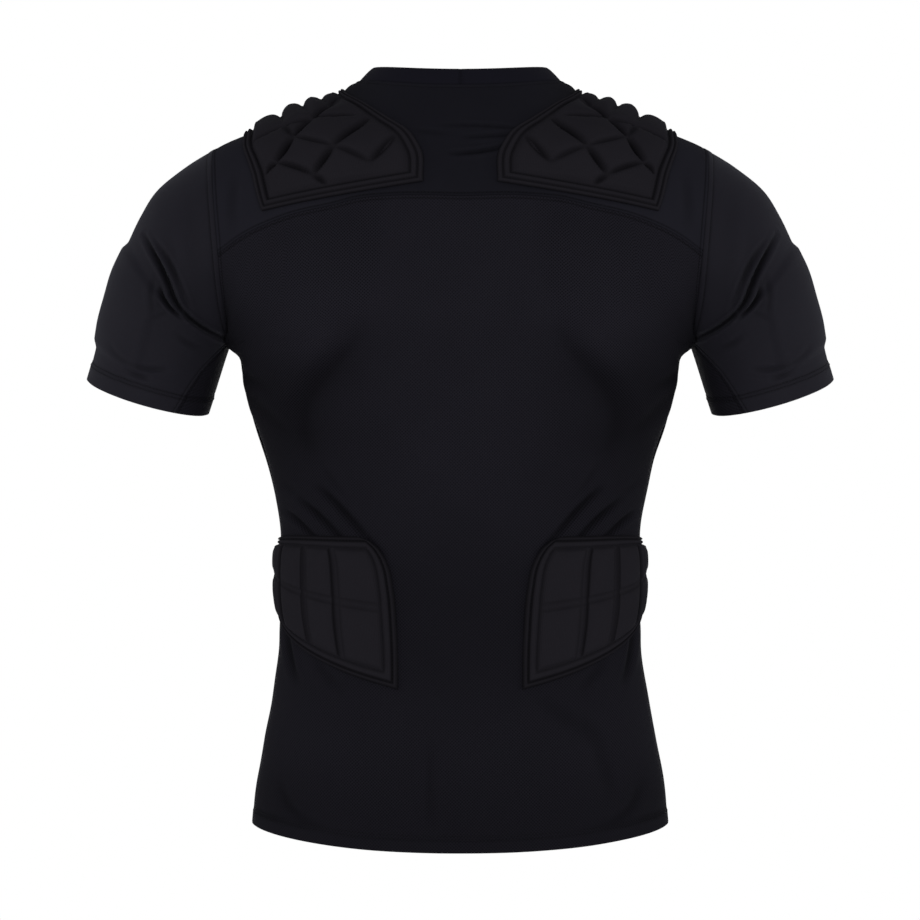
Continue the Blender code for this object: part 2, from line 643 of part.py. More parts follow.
def waist_shares(grooves, length):
    """Shares at which a waist pad is divided: border, groove shoulders, groove lines and block middles."""
    border = [0, BORDER_CREST / length, BORDER_WIDTH / length, (BORDER_WIDTH + BLOCK_SHOULDER) / length]
    half = GROOVE_HALF_WIDTH / length
    shares = border + [1 - share for share in border]
    starts = [border[-1]] + [groove + half for groove in grooves]
    stops = [groove - half for groove in grooves] + [1 - border[-1]]
    shares += starts[1:] + stops[:-1] + list(grooves)
    shares += [(start + stop) / 2 for start, stop in zip(starts, stops)]
    return np.unique(np.round(shares, 5))


def waist_rise(length_share, height_share, length, height):
    """Height of the quilted waist pad."""
    from_end = np.minimum(length_share, 1 - length_share) * length
    inset = np.minimum(from_end, np.minimum(height_share, 1 - height_share) * height)
    rise = border_rise(inset, WAIST_BLOCK)
    away = [np.abs(height_share - WAIST_LEVEL_GROOVE) * height]
    away += [np.abs(length_share - groove) * length for groove in WAIST_UPRIGHT_GROOVES]
    groove = np.clip(1 - np.minimum.reduce(away) / GROOVE_HALF_WIDTH, 0, 1)
    inside = np.clip((inset - BORDER_WIDTH) / BLOCK_SHOULDER, 0, 1)
    return rise - WAIST_BLOCK * GROOVE_DEPTH_SHARE * groove * inside


def waist_pad(side, mirrored):
    middle_line = waist_point(np.linspace(0, 1, 40), np.full(40, 0.5))
    length = np.linalg.norm(np.diff(middle_line, axis=0), axis=1).sum()
    back_line = waist_point(np.full(20, 0.75), np.linspace(0, 1, 20))
    height = np.linalg.norm(np.diff(back_line, axis=0), axis=1).sum()
    length_share, height_share = np.meshgrid(
        waist_shares(WAIST_UPRIGHT_GROOVES, length), waist_shares((WAIST_LEVEL_GROOVE,), height)
    )
    turn, level = waist_place(length_share, height_share)
    points, normal = body(turn, level), body_normal(turn, level)
    rise = WAIST_CLEARANCE + waist_rise(length_share, height_share, length, height)
    outer = points + normal * rise[..., None]
    wall(f"waist_pad_{side}", outer, points + normal * WAIST_CLEARANCE, "pad_cover", mirrored=mirrored)


def main():
    for old in list(bpy.data.objects):
        bpy.data.objects.remove(old)
    anchor = bpy.data.objects.new("shoulder_line", None)
    bpy.context.scene.collection.objects.link(anchor)
    back_panel()
    back_yoke()
    front_panel()
    neckband()
    for side, mirrored in (("left", True), ("right", False)):
        sleeves(side, mirrored)
        shoulder_pad(side, mirrored)
        waist_pad(side, mirrored)


main()
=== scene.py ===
# %% [markdown]
# # A padded rugby top, from cut panels to finished cloth
# The real top is black stretch cloth, cut in panels and sewn, with quilted foam pads on the shoulders
# and at the waist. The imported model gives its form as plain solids. This lesson dresses each of them:
# it repeats the few sizes that shape the solids, lays a finer cloth on that form, and then sews it.

# %% Load the fixed frame
import math

import bpy
import numpy as np
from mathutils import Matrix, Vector


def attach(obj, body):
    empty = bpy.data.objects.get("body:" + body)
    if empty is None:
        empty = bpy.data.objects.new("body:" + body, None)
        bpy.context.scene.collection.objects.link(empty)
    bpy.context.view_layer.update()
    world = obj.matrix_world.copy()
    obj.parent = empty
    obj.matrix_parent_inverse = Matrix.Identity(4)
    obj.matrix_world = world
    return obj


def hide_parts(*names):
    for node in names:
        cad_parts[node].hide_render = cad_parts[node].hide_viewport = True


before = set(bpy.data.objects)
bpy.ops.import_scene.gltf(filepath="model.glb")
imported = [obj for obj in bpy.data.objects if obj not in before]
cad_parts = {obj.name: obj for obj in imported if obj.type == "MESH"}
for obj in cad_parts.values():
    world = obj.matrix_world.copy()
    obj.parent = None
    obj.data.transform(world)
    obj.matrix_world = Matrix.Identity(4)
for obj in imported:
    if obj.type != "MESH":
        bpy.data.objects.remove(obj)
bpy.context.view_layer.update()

MM = 0.001
COARSE = 1.0
scene = bpy.context.scene

# %% [markdown]
# ## The camera
# A product shot of a garment is taken from far away with a long lens, so that shoulders and hem keep
# their true proportions. The camera stands level with the middle of the back, and its lens is worked
# out from the distance and the breadth that the picture takes in at the garment.

# %% Camera behind the wearer's back
CAMERA_DISTANCE = 3.0
CAMERA_X, CAMERA_Z = -0.0002, -0.248
FRAME_BREADTH = 0.736


def new_object(name, data):
    """An object in the scene for a camera, a light or a mesh."""
    made = bpy.data.objects.new(name, data)
    scene.collection.objects.link(made)
    return made


camera = new_object("camera", bpy.data.cameras.new("camera"))
camera.location = (CAMERA_X, -CAMERA_DISTANCE, CAMERA_Z)
camera.rotation_euler = (math.pi / 2, 0, 0)
camera.data.lens = camera.data.sensor_width * CAMERA_DISTANCE / FRAME_BREADTH
scene.camera = camera
print("lens in mm:", round(camera.data.lens, 1))

# %% [markdown]
# ## Room and floor
# The top is shown as if worn, so nothing holds it up, and the floor lies below the hem. The room is plain
# white to the camera and dimmer as a light, which keeps the cloth black: a Light Path node tells the two
# apart. Blender's standard view keeps white paper white.

# %% White room and pale floor
ROOM_SEEN = {"colour": (1, 1, 1, 1), "strength": 1.0}
ROOM_LIGHT = {"colour": (0.96, 0.97, 1, 1), "strength": 0.19}
FLOOR_Z, FLOOR_RADIUS, FLOOR_SIDES = -0.80, 1.2, 128
FLOOR_COLOUR, FLOOR_ROUGHNESS = (0.82, 0.82, 0.83, 1), 0.8


def background(nodes, colour, strength):
    """One plain light from all round."""
    node = nodes.new("ShaderNodeBackground")
    node.inputs["Color"].default_value = colour
    node.inputs["Strength"].default_value = strength
    return node.outputs["Background"]


def white_room():
    """A world that is white to the camera and a dimmer light to the cloth."""
    world = bpy.data.worlds.new("white_room")
    world.use_nodes = True
    nodes, links = world.node_tree.nodes, world.node_tree.links
    nodes.clear()
    path = nodes.new("ShaderNodeLightPath")
    mix = nodes.new("ShaderNodeMixShader")
    out = nodes.new("ShaderNodeOutputWorld")
    links.new(path.outputs["Is Camera Ray"], mix.inputs["Fac"])
    links.new(background(nodes, **ROOM_LIGHT), mix.inputs[1])
    links.new(background(nodes, **ROOM_SEEN), mix.inputs[2])
    links.new(mix.outputs["Shader"], out.inputs["Surface"])
    scene.world = world


def studio_floor():
    """A pale disc below the hem."""
    angles = np.linspace(0, 2 * math.pi, FLOOR_SIDES, endpoint=False)
    rim = [(FLOOR_RADIUS * math.cos(a), FLOOR_RADIUS * math.sin(a), FLOOR_Z) for a in angles]
    mesh = bpy.data.meshes.new("studio_floor")
    mesh.from_pydata(rim, [], [tuple(range(FLOOR_SIDES))])
    material = bpy.data.materials.new("pale_floor")
    material.use_nodes = True
    shader = material.node_tree.nodes["Principled BSDF"]
    shader.inputs["Base Color"].default_value = FLOOR_COLOUR
    shader.inputs["Roughness"].default_value = FLOOR_ROUGHNESS
    mesh.materials.append(material)
    floor = new_object("studio_floor", mesh)


scene.view_settings.view_transform = "Standard"
white_room()
studio_floor()

# %% [markdown]
# ## Softboxes
# Black cloth shows its form only through soft light. Two key softboxes stand on both sides of the camera,
# a weaker one lights each flank, and a broad one lights the chest for anyone who walks round. Each is an
# area light turned towards the garment, because the larger a light is, the softer its shadows are.

# %% Softboxes
AIM = Vector((0, 0, -0.15))
SOFTBOX_PAIRS = {
    "side_softbox": {"at": (2.3, -0.6, -0.1), "size": (1.1, 1.7), "watts": 6.8},
    "key_softbox": {"at": (0.9, -3.0, 0.0), "size": (1.2, 1.2), "watts": 9.6},
}
CHEST_SOFTBOX = {"at": (0, 3.2, -0.4), "size": (2.4, 1.6), "watts": 20}


def softbox(name, at, size, watts, side=1):
    """A rectangular light that faces the garment."""
    light = bpy.data.lights.new(name, "AREA")
    light.shape = "RECTANGLE"
    light.size, light.size_y = size
    light.energy = watts
    lamp = new_object(name, light)
    lamp.location = (side * at[0], at[1], at[2])
    lamp.rotation_euler = (AIM - lamp.location).to_track_quat("-Z", "Y").to_euler()


for box_name, values in SOFTBOX_PAIRS.items():
    softbox(f"left_{box_name}", **values, side=-1)
    softbox(f"right_{box_name}", **values)
softbox("chest_softbox", **CHEST_SOFTBOX)
print("lights:", len(bpy.data.lights), "and a white room")

# %% [markdown]
# ## The form that the cloth lies on
# A tailor thinks of a body as girths. Each ring is a rounded oval with its own breadth and depth, and
# its front may hang lower than its back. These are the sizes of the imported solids, in millimetres, so
# everything made from them lies on those solids. A place on the body is a turn, in degrees round the
# ring from the centre back, and a level, the height of that ring at the side.

# %% Girths of the body
HEM_LEVEL, NECK_LEVEL, BAND_LEVEL = -537.0, 54.0, 65.0
SHOULDER_X, SHOULDER_LEVEL = 197.5, 0.0
ARMPIT_X, ARMPIT_LEVEL = 183.5, -155.0
GIRTH_COLUMNS = (
    "level", "half_breadth", "back_depth", "front_depth", "back_rise", "front_drop", "squareness",
)
GIRTHS = (
    (HEM_LEVEL, 165.5, 108, 104, -14, 8, 2.25),
    (-500, 161.5, 107, 103, -10, 6, 2.25),
    (-470, 156.0, 104, 102, -7, 4, 2.25),
    (-440, 150.0, 99, 100, -4, 2, 2.25),
    (-410, 145.5, 93, 98, -2, 0, 2.25),
    (-375, 143.5, 88, 97, 0, 0, 2.25),
    (-335, 142.5, 85, 97, 0, 0, 2.25),
    (-302, 143.5, 85, 98, 0, 0, 2.25),
    (-278, 148.0, 88, 100, 0, 0, 2.25),
    (-250, 154.5, 93, 104, 0, 0, 2.3),
    (-220, 164.0, 100, 108, 0, 0, 2.3),
    (-200, 170.0, 105, 111, 0, 0, 2.3),
    (-168, 176.0, 111, 114, 0, 0, 2.3),
    (ARMPIT_LEVEL, ARMPIT_X, 113, 114, 0, 1, 2.3),
    (-100, 188.5, 118, 113, 0, 18, 2.25),
    (-60, 192.0, 115, 109, 0, 38, 2.15),
    (-30, 195.0, 107, 103, 0, 52, 2.05),
    (SHOULDER_LEVEL, SHOULDER_X, 94, 94, 0, 64, 2.0),
    (10, 174.0, 89, 88, -1, 67, 2.0),
    (27, 132.0, 80, 77, -3, 70, 2.0),
    (42, 97.0, 71, 66, -6, 72, 2.0),
    (NECK_LEVEL, 81.0, 64, 58, -8, 72, 2.0),
    (BAND_LEVEL, 70.0, 58, 51, -6, 72, 2.0),
)


def table(columns, rows):
    """Columns of a table by name."""
    return dict(zip(columns, np.array(rows, float).T))


def smooth(at, knots, values):
    """Smooth curve through a table's rows."""
    slopes = np.gradient(values, knots)
    i = np.clip(np.searchsorted(knots, at) - 1, 0, len(knots) - 2)
    step = knots[i + 1] - knots[i]
    t = (at - knots[i]) / step
    start = (1 + 2 * t) * (1 - t) ** 2 * values[i] + t * (1 - t) ** 2 * step * slopes[i]
    end = t * t * (3 - 2 * t) * values[i + 1] + t * t * (t - 1) * step * slopes[i + 1]
    return start + end


GIRTH = table(GIRTH_COLUMNS, GIRTHS)


def girth(name, level):
    """One size of the body at a level."""
    return smooth(level, GIRTH["level"], GIRTH[name])


print("girth rings:", len(GIRTHS), "breadth of the hem in mm:", 2 * GIRTH["half_breadth"][0])

# %% [markdown]
# ## Surface of the body
# A smooth curve through each column of the table gives a ring at every level. Two rules meet at the
# shoulder line: below it the ring passes through the armhole, above it runs in to the neck. Cloth rounds
# such an edge, so points near it are averaged with those just above and below. Blender could loft curves
# instead, but a formula gives the point at any turn and level, and that is what the panels ask for.

# %% Surface of the body
ARMHOLE_BACK, ARMHOLE_FRONT = 66.0, 63.0
ARMHOLE_HALF = (SHOULDER_LEVEL - ARMPIT_LEVEL) / 2
SHOULDER_EASE = 9.0
EASE_SHARES = np.linspace(-0.8, 0.8, 9)


def armhole_x(z):
    """The armhole lies in a leaning plane, and this is that plane's distance from the centre."""
    return SHOULDER_X + (z - SHOULDER_LEVEL) * (SHOULDER_X - ARMPIT_X) / (SHOULDER_LEVEL - ARMPIT_LEVEL)


def ring(level, front):
    """Half breadth, depth, lift, armhole share and squareness of one half of a girth ring."""
    depth = np.where(front, girth("front_depth", level), girth("back_depth", level))
    lift = np.where(front, -girth("front_drop", level), girth("back_rise", level))
    power = girth("squareness", level)
    middle = (SHOULDER_LEVEL + ARMPIT_LEVEL) / 2
    height = np.sqrt(np.clip(1 - ((level - middle) / ARMHOLE_HALF) ** 2, 0, None))
    share = np.where(front, ARMHOLE_FRONT, ARMHOLE_BACK) * height / depth
    through_armhole = armhole_x(level + lift * share**2) / (1 - share**power) ** (1 / power)
    breadth = np.where(share > 0, through_armhole, girth("half_breadth", level))
    return breadth, depth, lift, share, power


def plain_body(turn, level):
    """Points of the girth rings."""
    sine, cosine = np.sin(np.radians(turn)), np.cos(np.radians(turn))
    breadth, depth, lift, _, power = ring(level, cosine < 0)
    share = np.abs(cosine) ** (2 / power)
    x = breadth * np.sign(sine) * np.abs(sine) ** (2 / power)
    y = -depth * np.sign(cosine) * share
    return np.stack([x, y, level + lift * share**2], -1)


def body(turn, level):
    """Points of the body's outside, rounded over the shoulder line."""
    turn, level = np.broadcast_arrays(np.asarray(turn, float), np.asarray(level, float))
    reach = SHOULDER_EASE * np.exp(-(((level - SHOULDER_LEVEL) / (2 * SHOULDER_EASE)) ** 2))
    weights = 1 - np.abs(EASE_SHARES)
    points = sum(w * plain_body(turn, level + s * reach) for s, w in zip(EASE_SHARES, weights))
    return points / weights.sum()


def edge_turn(level, front):
    """Turn at which a panel ends, at the side seam, the armhole or the shoulder seam."""
    _, _, _, share, power = ring(np.asarray(level, float), front)
    turn = np.degrees(np.arccos(share ** (power / 2)))
    return 180 - turn if front else turn


print("shoulder point in mm:", body(90.0, SHOULDER_LEVEL).round(1))

# %% [markdown]
# ## Surface of the sleeve
# The sleeve is a tube of ovals between an outer line, which falls from the shoulder, and a straight inner
# line from the armpit. A place on it is an angle round the arm from its outside, and a share along it from
# the armhole to the cuff. Its first oval is eased into the armhole's own edge, so that the two panels meet.

# %% Surface of the sleeve
CUFF_INNER_X, CUFF_INNER_Z = 202.0, -210.5
SLEEVE_COLUMNS = ("along", "outer_x", "outer_z", "back_depth", "front_depth", "back_drop")
SLEEVE = (
    (0.00, SHOULDER_X, SHOULDER_LEVEL, ARMHOLE_BACK, ARMHOLE_FRONT, 0),
    (0.13, 220.5, -14.5, 66.0, 63.5, 0),
    (0.26, 243.5, -33.5, 65.0, 63.0, 0),
    (0.37, 256.0, -53.0, 64.0, 62.5, 0),
    (0.50, 268.0, -78.5, 62.0, 61.0, 1.0),
    (0.60, 276.5, -97.5, 60.0, 60.0, 2.0),
    (0.69, 282.0, -117.0, 58.5, 58.5, 3.5),
    (0.78, 287.5, -136.0, 57.0, 57.0, 5.0),
    (0.88, 291.5, -157.0, 56.0, 56.0, 6.5),
    (1.00, 298.0, -182.5, 55.0, 55.0, 8.0),
)
ARM = table(SLEEVE_COLUMNS, SLEEVE)
FIT_FADE = 3


def armhole_level(around):
    """Level of the armhole's edge, by the angle round it from the shoulder point."""
    return SHOULDER_LEVEL - ARMHOLE_HALF * (1 - np.cos(np.radians(around)))


def armhole(around):
    """Points of the right armhole's edge, by the angle round it from the shoulder point to the back."""
    level = armhole_level(around)
    turn = np.where(np.sin(np.radians(around)) < 0, edge_turn(level, True), edge_turn(level, False))
    return body(turn, level)


def sleeve_ring(around, along):
    """Points of a plain oval sleeve between its outer and inner lines."""
    sine, cosine = np.sin(np.radians(around)), np.cos(np.radians(around))
    size = {name: smooth(along, ARM["along"], ARM[name]) for name in SLEEVE_COLUMNS[1:]}
    inner_x = ARMPIT_X + (CUFF_INNER_X - ARMPIT_X) * along
    inner_z = ARMPIT_LEVEL + (CUFF_INNER_Z - ARMPIT_LEVEL) * along
    x = (size["outer_x"] + inner_x) / 2 + (size["outer_x"] - inner_x) / 2 * cosine
    y = -np.where(sine < 0, size["front_depth"], size["back_depth"]) * sine
    z = (size["outer_z"] + inner_z) / 2 + (size["outer_z"] - inner_z) / 2 * cosine
    return np.stack([x, y, z - size["back_drop"] * sine], -1)


def sleeve(around, along):
    """Points of the right sleeve's outside: its first ring is the armhole's edge."""
    around, along = np.broadcast_arrays(np.asarray(around, float), np.asarray(along, float))
    fit = armhole(around) - sleeve_ring(around, np.zeros_like(along))
    return sleeve_ring(around, along) + fit * ((1 - along) ** FIT_FADE)[..., None]


print("sleeve rings:", len(SLEEVE), "outer point of the cuff in mm:", sleeve(0.0, 1.0).round(1))

# %% [markdown]
# ## Folds and fullness
# Worn stretch cloth is mostly taut. It is eased over the shoulder blades, it drops into a shallow
# channel between them, and it buckles into short slanting folds where an arm hangs or where a stiff pad
# stops it. A simulation would spread such folds at random, so they are listed one by one. Each panel has a
# table of folds, which are bent troughs with a soft ridge on both sides, given by three points as seen
# from the back or front, and a table of fullness, which are broad rises and hollows.

# %% Relief from tables
FOLD_COLUMNS = ("x1", "z1", "x2", "z2", "x3", "z3", "depth", "half_width", "sides")
ONE, BOTH = 1, 2
FOLD_STEPS, FOLD_REACH = 33, 4
FOLD_END, FOLD_FADE = 0.04, 0.7
RIDGE_SHARE, RIDGE_PLACE, RIDGE_HALF = 0.38, 1.75, 0.8
FULLNESS_COLUMNS = ("x", "z", "half_x", "half_z", "height", "flatness")
UNEVEN_HEIGHT = 0.22
UNEVEN_WAVES = ((1 / 13.7, 0, 1 / 31.0, 0), (0, -1 / 23.0, 1 / 17.3, 1.1), (1 / 8.9, 0, 1 / 8.9, 2.3))


def soft_step(at, middle, half_width):
    """0 before the middle, 1 after it, with a soft change between."""
    t = np.clip((at - middle) / (2 * half_width) + 0.5, 0, 1)
    return t * t * (3 - 2 * t)


def bell(distance, half_width):
    """1 at no distance, and softly less on both sides."""
    return np.exp(-((distance / half_width) ** 2))


def fold_relief(points, folds):
    """How far the cloth sinks or rises at each point, seen along Y, from a table of bent folds."""
    relief = np.zeros(points.shape[:-1])
    t = np.linspace(0, 1, FOLD_STEPS)[:, None]
    for row in folds:
        fold = dict(zip(FOLD_COLUMNS, row))
        x = np.abs(points[..., 0]) if fold["sides"] == BOTH else points[..., 0]
        spots = np.stack([x, points[..., 2]], -1)
        start, bend, end = (np.array([fold[f"x{k}"], fold[f"z{k}"]], float) for k in (1, 2, 3))
        path = (1 - t) ** 2 * start + 2 * t * (1 - t) * bend + t**2 * end
        reach = FOLD_REACH * fold["half_width"]
        near = ((spots > path.min(0) - reach) & (spots < path.max(0) + reach)).all(-1)
        away = np.linalg.norm(spots[near][:, None, :] - path, axis=-1)
        nearest = t[away.argmin(-1), 0]
        fade = np.sin(np.pi * (FOLD_END + (1 - 2 * FOLD_END) * nearest)) ** FOLD_FADE
        across = away.min(-1) / fold["half_width"]
        profile = RIDGE_SHARE * bell(across - RIDGE_PLACE, RIDGE_HALF) - bell(across, 1)
        relief[near] += fold["depth"] * fade * profile
    return relief


def fullness_relief(points, rows):
    """Broad rises and hollows, the same on both sides."""
    relief = np.zeros(points.shape[:-1])
    for row in rows:
        spot = dict(zip(FULLNESS_COLUMNS, row))
        across = (np.abs(points[..., 0]) - spot["x"]) / spot["half_x"]
        up = (points[..., 2] - spot["z"]) / spot["half_z"]
        relief += spot["height"] * np.exp(-((across**2 + up**2) ** spot["flatness"]))
    return relief


def unevenness(points):
    """The slight waviness of any sewn cloth, from a few waves that don't repeat together."""
    x, y, z = np.moveaxis(points, -1, 0)
    return UNEVEN_HEIGHT * sum(np.sin(a * x + b * y + c * z + start) for a, b, c, start in UNEVEN_WAVES)


print("waviness of the cloth in mm: up to", round(UNEVEN_HEIGHT * len(UNEVEN_WAVES), 2))

# %% [markdown]
# ## A grid of points for each panel
# Every panel is a grid of points on its form. Its lines lie closer together beside the edges, where seams
# and hems have their small relief, and wherever folds need them. Distances along the grid then say how far
# each point is from an edge, and what its place on the flat cloth is, for the weave to follow.

# %% Lines, directions and distances of a grid
FINE_STEP = 3.4 * COARSE
EDGE_LINES = (0.5, 1.1, 1.7, 2.3, 2.9, 3.5, 4.2, 5.0, 6.2, 8.0)
CLOSEST_LINES, SHARE_DIGITS = 0.35, 6
TINY = 1e-9


def spread(length, step, extra=(), edges=EDGE_LINES):
    """Shares from 0 to 1 for the lines of a grid, closer together by both ends."""
    even = np.linspace(0, 1, max(2, round(length / step)) + 1)
    ends = np.array(edges) / length
    shares = np.concatenate([even, ends, 1 - ends, np.asarray(extra, float)])
    shares = np.unique(np.round(np.clip(shares, 0, 1), SHARE_DIGITS))
    needed = (*np.round(extra, SHARE_DIGITS), 1.0)
    keep = [0]
    for k in range(1, len(shares)):
        if (shares[k] - shares[keep[-1]]) * length > CLOSEST_LINES or shares[k] in needed:
            keep.append(k)
    return shares[keep]


def finer(shares, low, high):
    """The same lines, with one more between each two in part of the grid."""
    middle = (shares[1:] + shares[:-1]) / 2
    return np.unique(np.concatenate([shares, middle[(middle > low) & (middle < high)]]))


def unit(vectors):
    """Directions of vectors, with a length of one."""
    return vectors / np.maximum(np.linalg.norm(vectors, axis=-1, keepdims=True), TINY)


def grid_normals(points, closed=False):
    """Outward directions of a grid of points, rows by columns."""
    if closed:
        across = np.roll(points, -1, axis=1) - np.roll(points, 1, axis=1)
    else:
        across = np.gradient(points, axis=1)
    return unit(np.cross(across, np.gradient(points, axis=0)))


def run_length(points, axis):
    """Distance travelled along the grid in one direction."""
    steps = np.linalg.norm(np.diff(points, axis=axis), axis=-1)
    start = np.zeros_like(np.take(steps, [0], axis=axis))
    return np.concatenate([start, np.cumsum(steps, axis=axis)], axis=axis)


def edge_distances(points):
    """Distance of each point from the grid's first row, from its last row and from its nearer side."""
    up, across = run_length(points, 0), run_length(points, 1)
    return up, up[-1:] - up, np.minimum(across, across[:, -1:] - across)


def flat_place(points):
    """Place of each point on the flat cloth, across from the middle column and up from the first row."""
    across = run_length(points, 1)
    middle = points.shape[1] // 2
    return np.stack([across - across[:, middle : middle + 1], run_length(points, 0)], -1)


print("grid step in mm:", FINE_STEP)

# %% [markdown]
# ## Seams and hems
# A flat seam is a slightly raised band with a dent along its row of stitches, and a hem is cloth turned
# up and sewn with two rows. Both are formulas of the distance from an edge. Less light reaches a dent or a
# fold, so a second set of formulas says how much shade is painted on each place. A bump map could fake
# the relief, but seams are the lines that the eye follows on black cloth, so they are real shapes.

# %% Relief and shade of seams and hems
CLOTH, HEM_EXTRA = 1.5, 0.8
SEAM_ROW, SLEEVE_ROW, YOKE_ROW = 2.6, 4.2, 1.8
STITCH_OFFSET, SECOND_ROW = 0.6, 3.0
SEAM_RISE, SEAM_SOFT = 0.32, 1.0
SEAM_DIP, SEAM_DIP_HALF = 0.15, 0.8
STITCH_DENT, STITCH_DENT_HALF = 0.35, 0.9
SEAM_SHADE, SEAM_SHADE_HALF = 0.5, 0.7
HEM_RISE, HEM_SOFT = 0.45, 1.5
HEM_DENT, HEM_DENT_HALF = 0.4, 1.3
HEM_SHADE, HEM_SHADE_HALF = 0.45, 0.9
FOLD_DARK = 3.4


def seam_roll(distance, row=SEAM_ROW):
    """Height of a flat seam: a raised band over the allowance, with a dent along its stitches."""
    band = SEAM_RISE * (1 - soft_step(distance, row, SEAM_SOFT)) - SEAM_DIP * bell(distance, SEAM_DIP_HALF)
    return band - STITCH_DENT * bell(distance - row - STITCH_OFFSET, STITCH_DENT_HALF)


def seam_hollow(distance, row=SEAM_ROW):
    """Painted shade along a seam and its row of stitches."""
    lines = (distance, distance - row - STITCH_OFFSET)
    return sum(SEAM_SHADE * bell(line, SEAM_SHADE_HALF) for line in lines)


def turned_up(distance, height):
    """1 inside a hem, 0 above it."""
    return 1 - soft_step(distance, height, HEM_SOFT)


def hem_roll(distance, height):
    """A turned hem is a little fuller than the cloth, with a dent along its stitching."""
    return HEM_RISE * turned_up(distance, height) - HEM_DENT * bell(distance - height, HEM_DENT_HALF)


def hem_cloth(distance, height):
    """Thickness of the cloth and of the hem."""
    return CLOTH + HEM_EXTRA * turned_up(distance, height)


def hem_hollow(distance, height):
    """Painted shade along the two rows of stitches of a hem."""
    rows = (height, height - SECOND_ROW)
    return sum(HEM_SHADE * bell(distance - row, HEM_SHADE_HALF) for row in rows)


def fold_hollow(relief):
    """How far a point lies down in a fold, which is the shade painted there."""
    return np.clip(-relief / FOLD_DARK, 0, 1)


print("cloth in mm:", CLOTH, "hem in mm:", CLOTH + HEM_EXTRA)

# %% [markdown]
# ## A wall of cloth
# A wall needs an outside, an inside and a rounded rim, so that a hem looks folded and not cut with a
# knife. Blender's Solidify would do that too, but here the hem is thicker than the panel, so both sides
# are made from the grid. Each point keeps its place on the flat cloth, in metres, and three numbers: the
# shade painted where it lies down in a fold or groove and less light reaches it, how far the knit is
# stretched, which opens its eyelets and also paints shade, and how open its eyelets are knitted. The
# materials read these.

# %% Faces of a wall
SEAM_GAP, RIM_ROUND = 0.1, 0.3


def grid_quads(rows, columns, closed=False):
    """Faces of a grid of points."""
    index = np.arange(rows * columns).reshape(rows, columns)
    right = np.roll(index, -1, axis=1)
    quads = np.stack([index[:-1], right[:-1], right[1:], index[1:]], -1)
    return (quads if closed else quads[:, :-1]).reshape(-1, 4)


def rim_loops(rows, columns, closed):
    """Indices round the open edges of a grid."""
    index = np.arange(rows * columns).reshape(rows, columns)
    if closed:
        return [index[0], index[-1][::-1]]
    return [np.concatenate([index[0, :-1], index[:-1, -1], index[-1, :0:-1], index[:0:-1, 0]])]


def rim_outward(points, closed):
    """Direction in which the edge of a grid faces, zero inside it."""
    out = np.zeros_like(points)
    out[0] += points[0] - points[1]
    out[-1] += points[-1] - points[-2]
    if not closed:
        out[:, 0] += points[:, 0] - points[:, 1]
        out[:, -1] += points[:, -1] - points[:, -2]
    return unit(out)


def wall_faces(rows, columns, closed):
    """Faces of the outside, then of the inside, then of the rounded rim."""
    count = rows * columns
    quads = grid_quads(rows, columns, closed)
    faces = [quads, quads[:, ::-1] + count]
    start = 2 * count
    for loop in rim_loops(rows, columns, closed):
        middle = start + np.arange(len(loop))
        ahead, middle_ahead = np.roll(loop, -1), np.roll(middle, -1)
        faces.append(np.stack([ahead, loop, middle, middle_ahead], -1))
        faces.append(np.stack([middle_ahead, middle, loop + count, ahead + count], -1))
        start += len(loop)
    return np.concatenate(faces)


print("faces of a wall with 3 x 3 points:", len(wall_faces(3, 3, False)))

# %% Pieces from points
EYELETS_PLAIN = 0.7
MIRROR = ((-1, 0, 0, 0), (0, 1, 0, 0), (0, 0, 1, 0), (0, 0, 0, 1))


def keep_at_points(mesh, name, values):
    """Stores up to three numbers at each point of a mesh, for the materials to read."""
    kept = mesh.attributes.new(name, "FLOAT_VECTOR", "POINT")
    three = np.pad(values, ((0, 0), (0, 3 - values.shape[1])))
    kept.data.foreach_set("vector", three.ravel())


def mesh_object(name, points, faces):
    """A mesh object from points in millimetres."""
    mesh = bpy.data.meshes.new(name)
    mesh.from_pydata((points.reshape(-1, 3) * MM).tolist(), [], faces.tolist())
    return new_object(name, mesh)


def new_piece(name, points, faces, flat, state):
    """A smooth-shaded piece that keeps its place on the flat cloth, its painted shade, stretch and eyelets.
    """
    piece = mesh_object(name, points, faces)
    keep_at_points(piece.data, "cloth_place", flat * MM)
    keep_at_points(piece.data, "painted_shade_stretch_eyelets", state)
    piece.data.shade_smooth()
    return piece


def cloth_wall(name, outer, inner, place, hollow=0.0, stretch=0.0, eyelets=EYELETS_PLAIN, closed=False):
    """A closed, thin piece between two grids of points."""
    rows, columns = outer.shape[:2]
    rim = rim_outward(outer, closed)
    outer, inner = outer - rim * SEAM_GAP / 2, inner - rim * SEAM_GAP / 2
    thickness = np.linalg.norm(outer - inner, axis=-1, keepdims=True)
    bulge = (outer + inner) / 2 + rim * thickness * RIM_ROUND
    loops = np.concatenate(rim_loops(rows, columns, closed))
    points = np.concatenate([outer.reshape(-1, 3), inner.reshape(-1, 3), bulge.reshape(-1, 3)[loops]])
    flat = place.reshape(-1, 2)
    flat = np.concatenate([flat, flat, flat[loops]])
    # The first number is painted shade, the second stretch that also paints shade, the third the eyelets.
    ones = np.ones((rows, columns))
    state = np.stack([(value * ones).ravel().clip(0, 1) for value in (hollow, stretch, eyelets)], -1)
    state = np.concatenate([state, state * (0, 1, 1), state[loops]])
    return new_piece(name, points, wall_faces(rows, columns, closed), flat, state)


def wall_on(name, form, rise, thickness, hollow, normal=None, closed=False, **state):
    """A wall that rises over its form. Its outside and its directions are kept for the sewing."""
    normal = grid_normals(form, closed) if normal is None else normal
    outer = form + normal * rise[..., None]
    inner = outer - normal * (thickness * np.ones_like(rise))[..., None]
    wall = cloth_wall(name, outer, inner, flat_place(form), hollow, closed=closed, **state)
    return wall, outer, normal


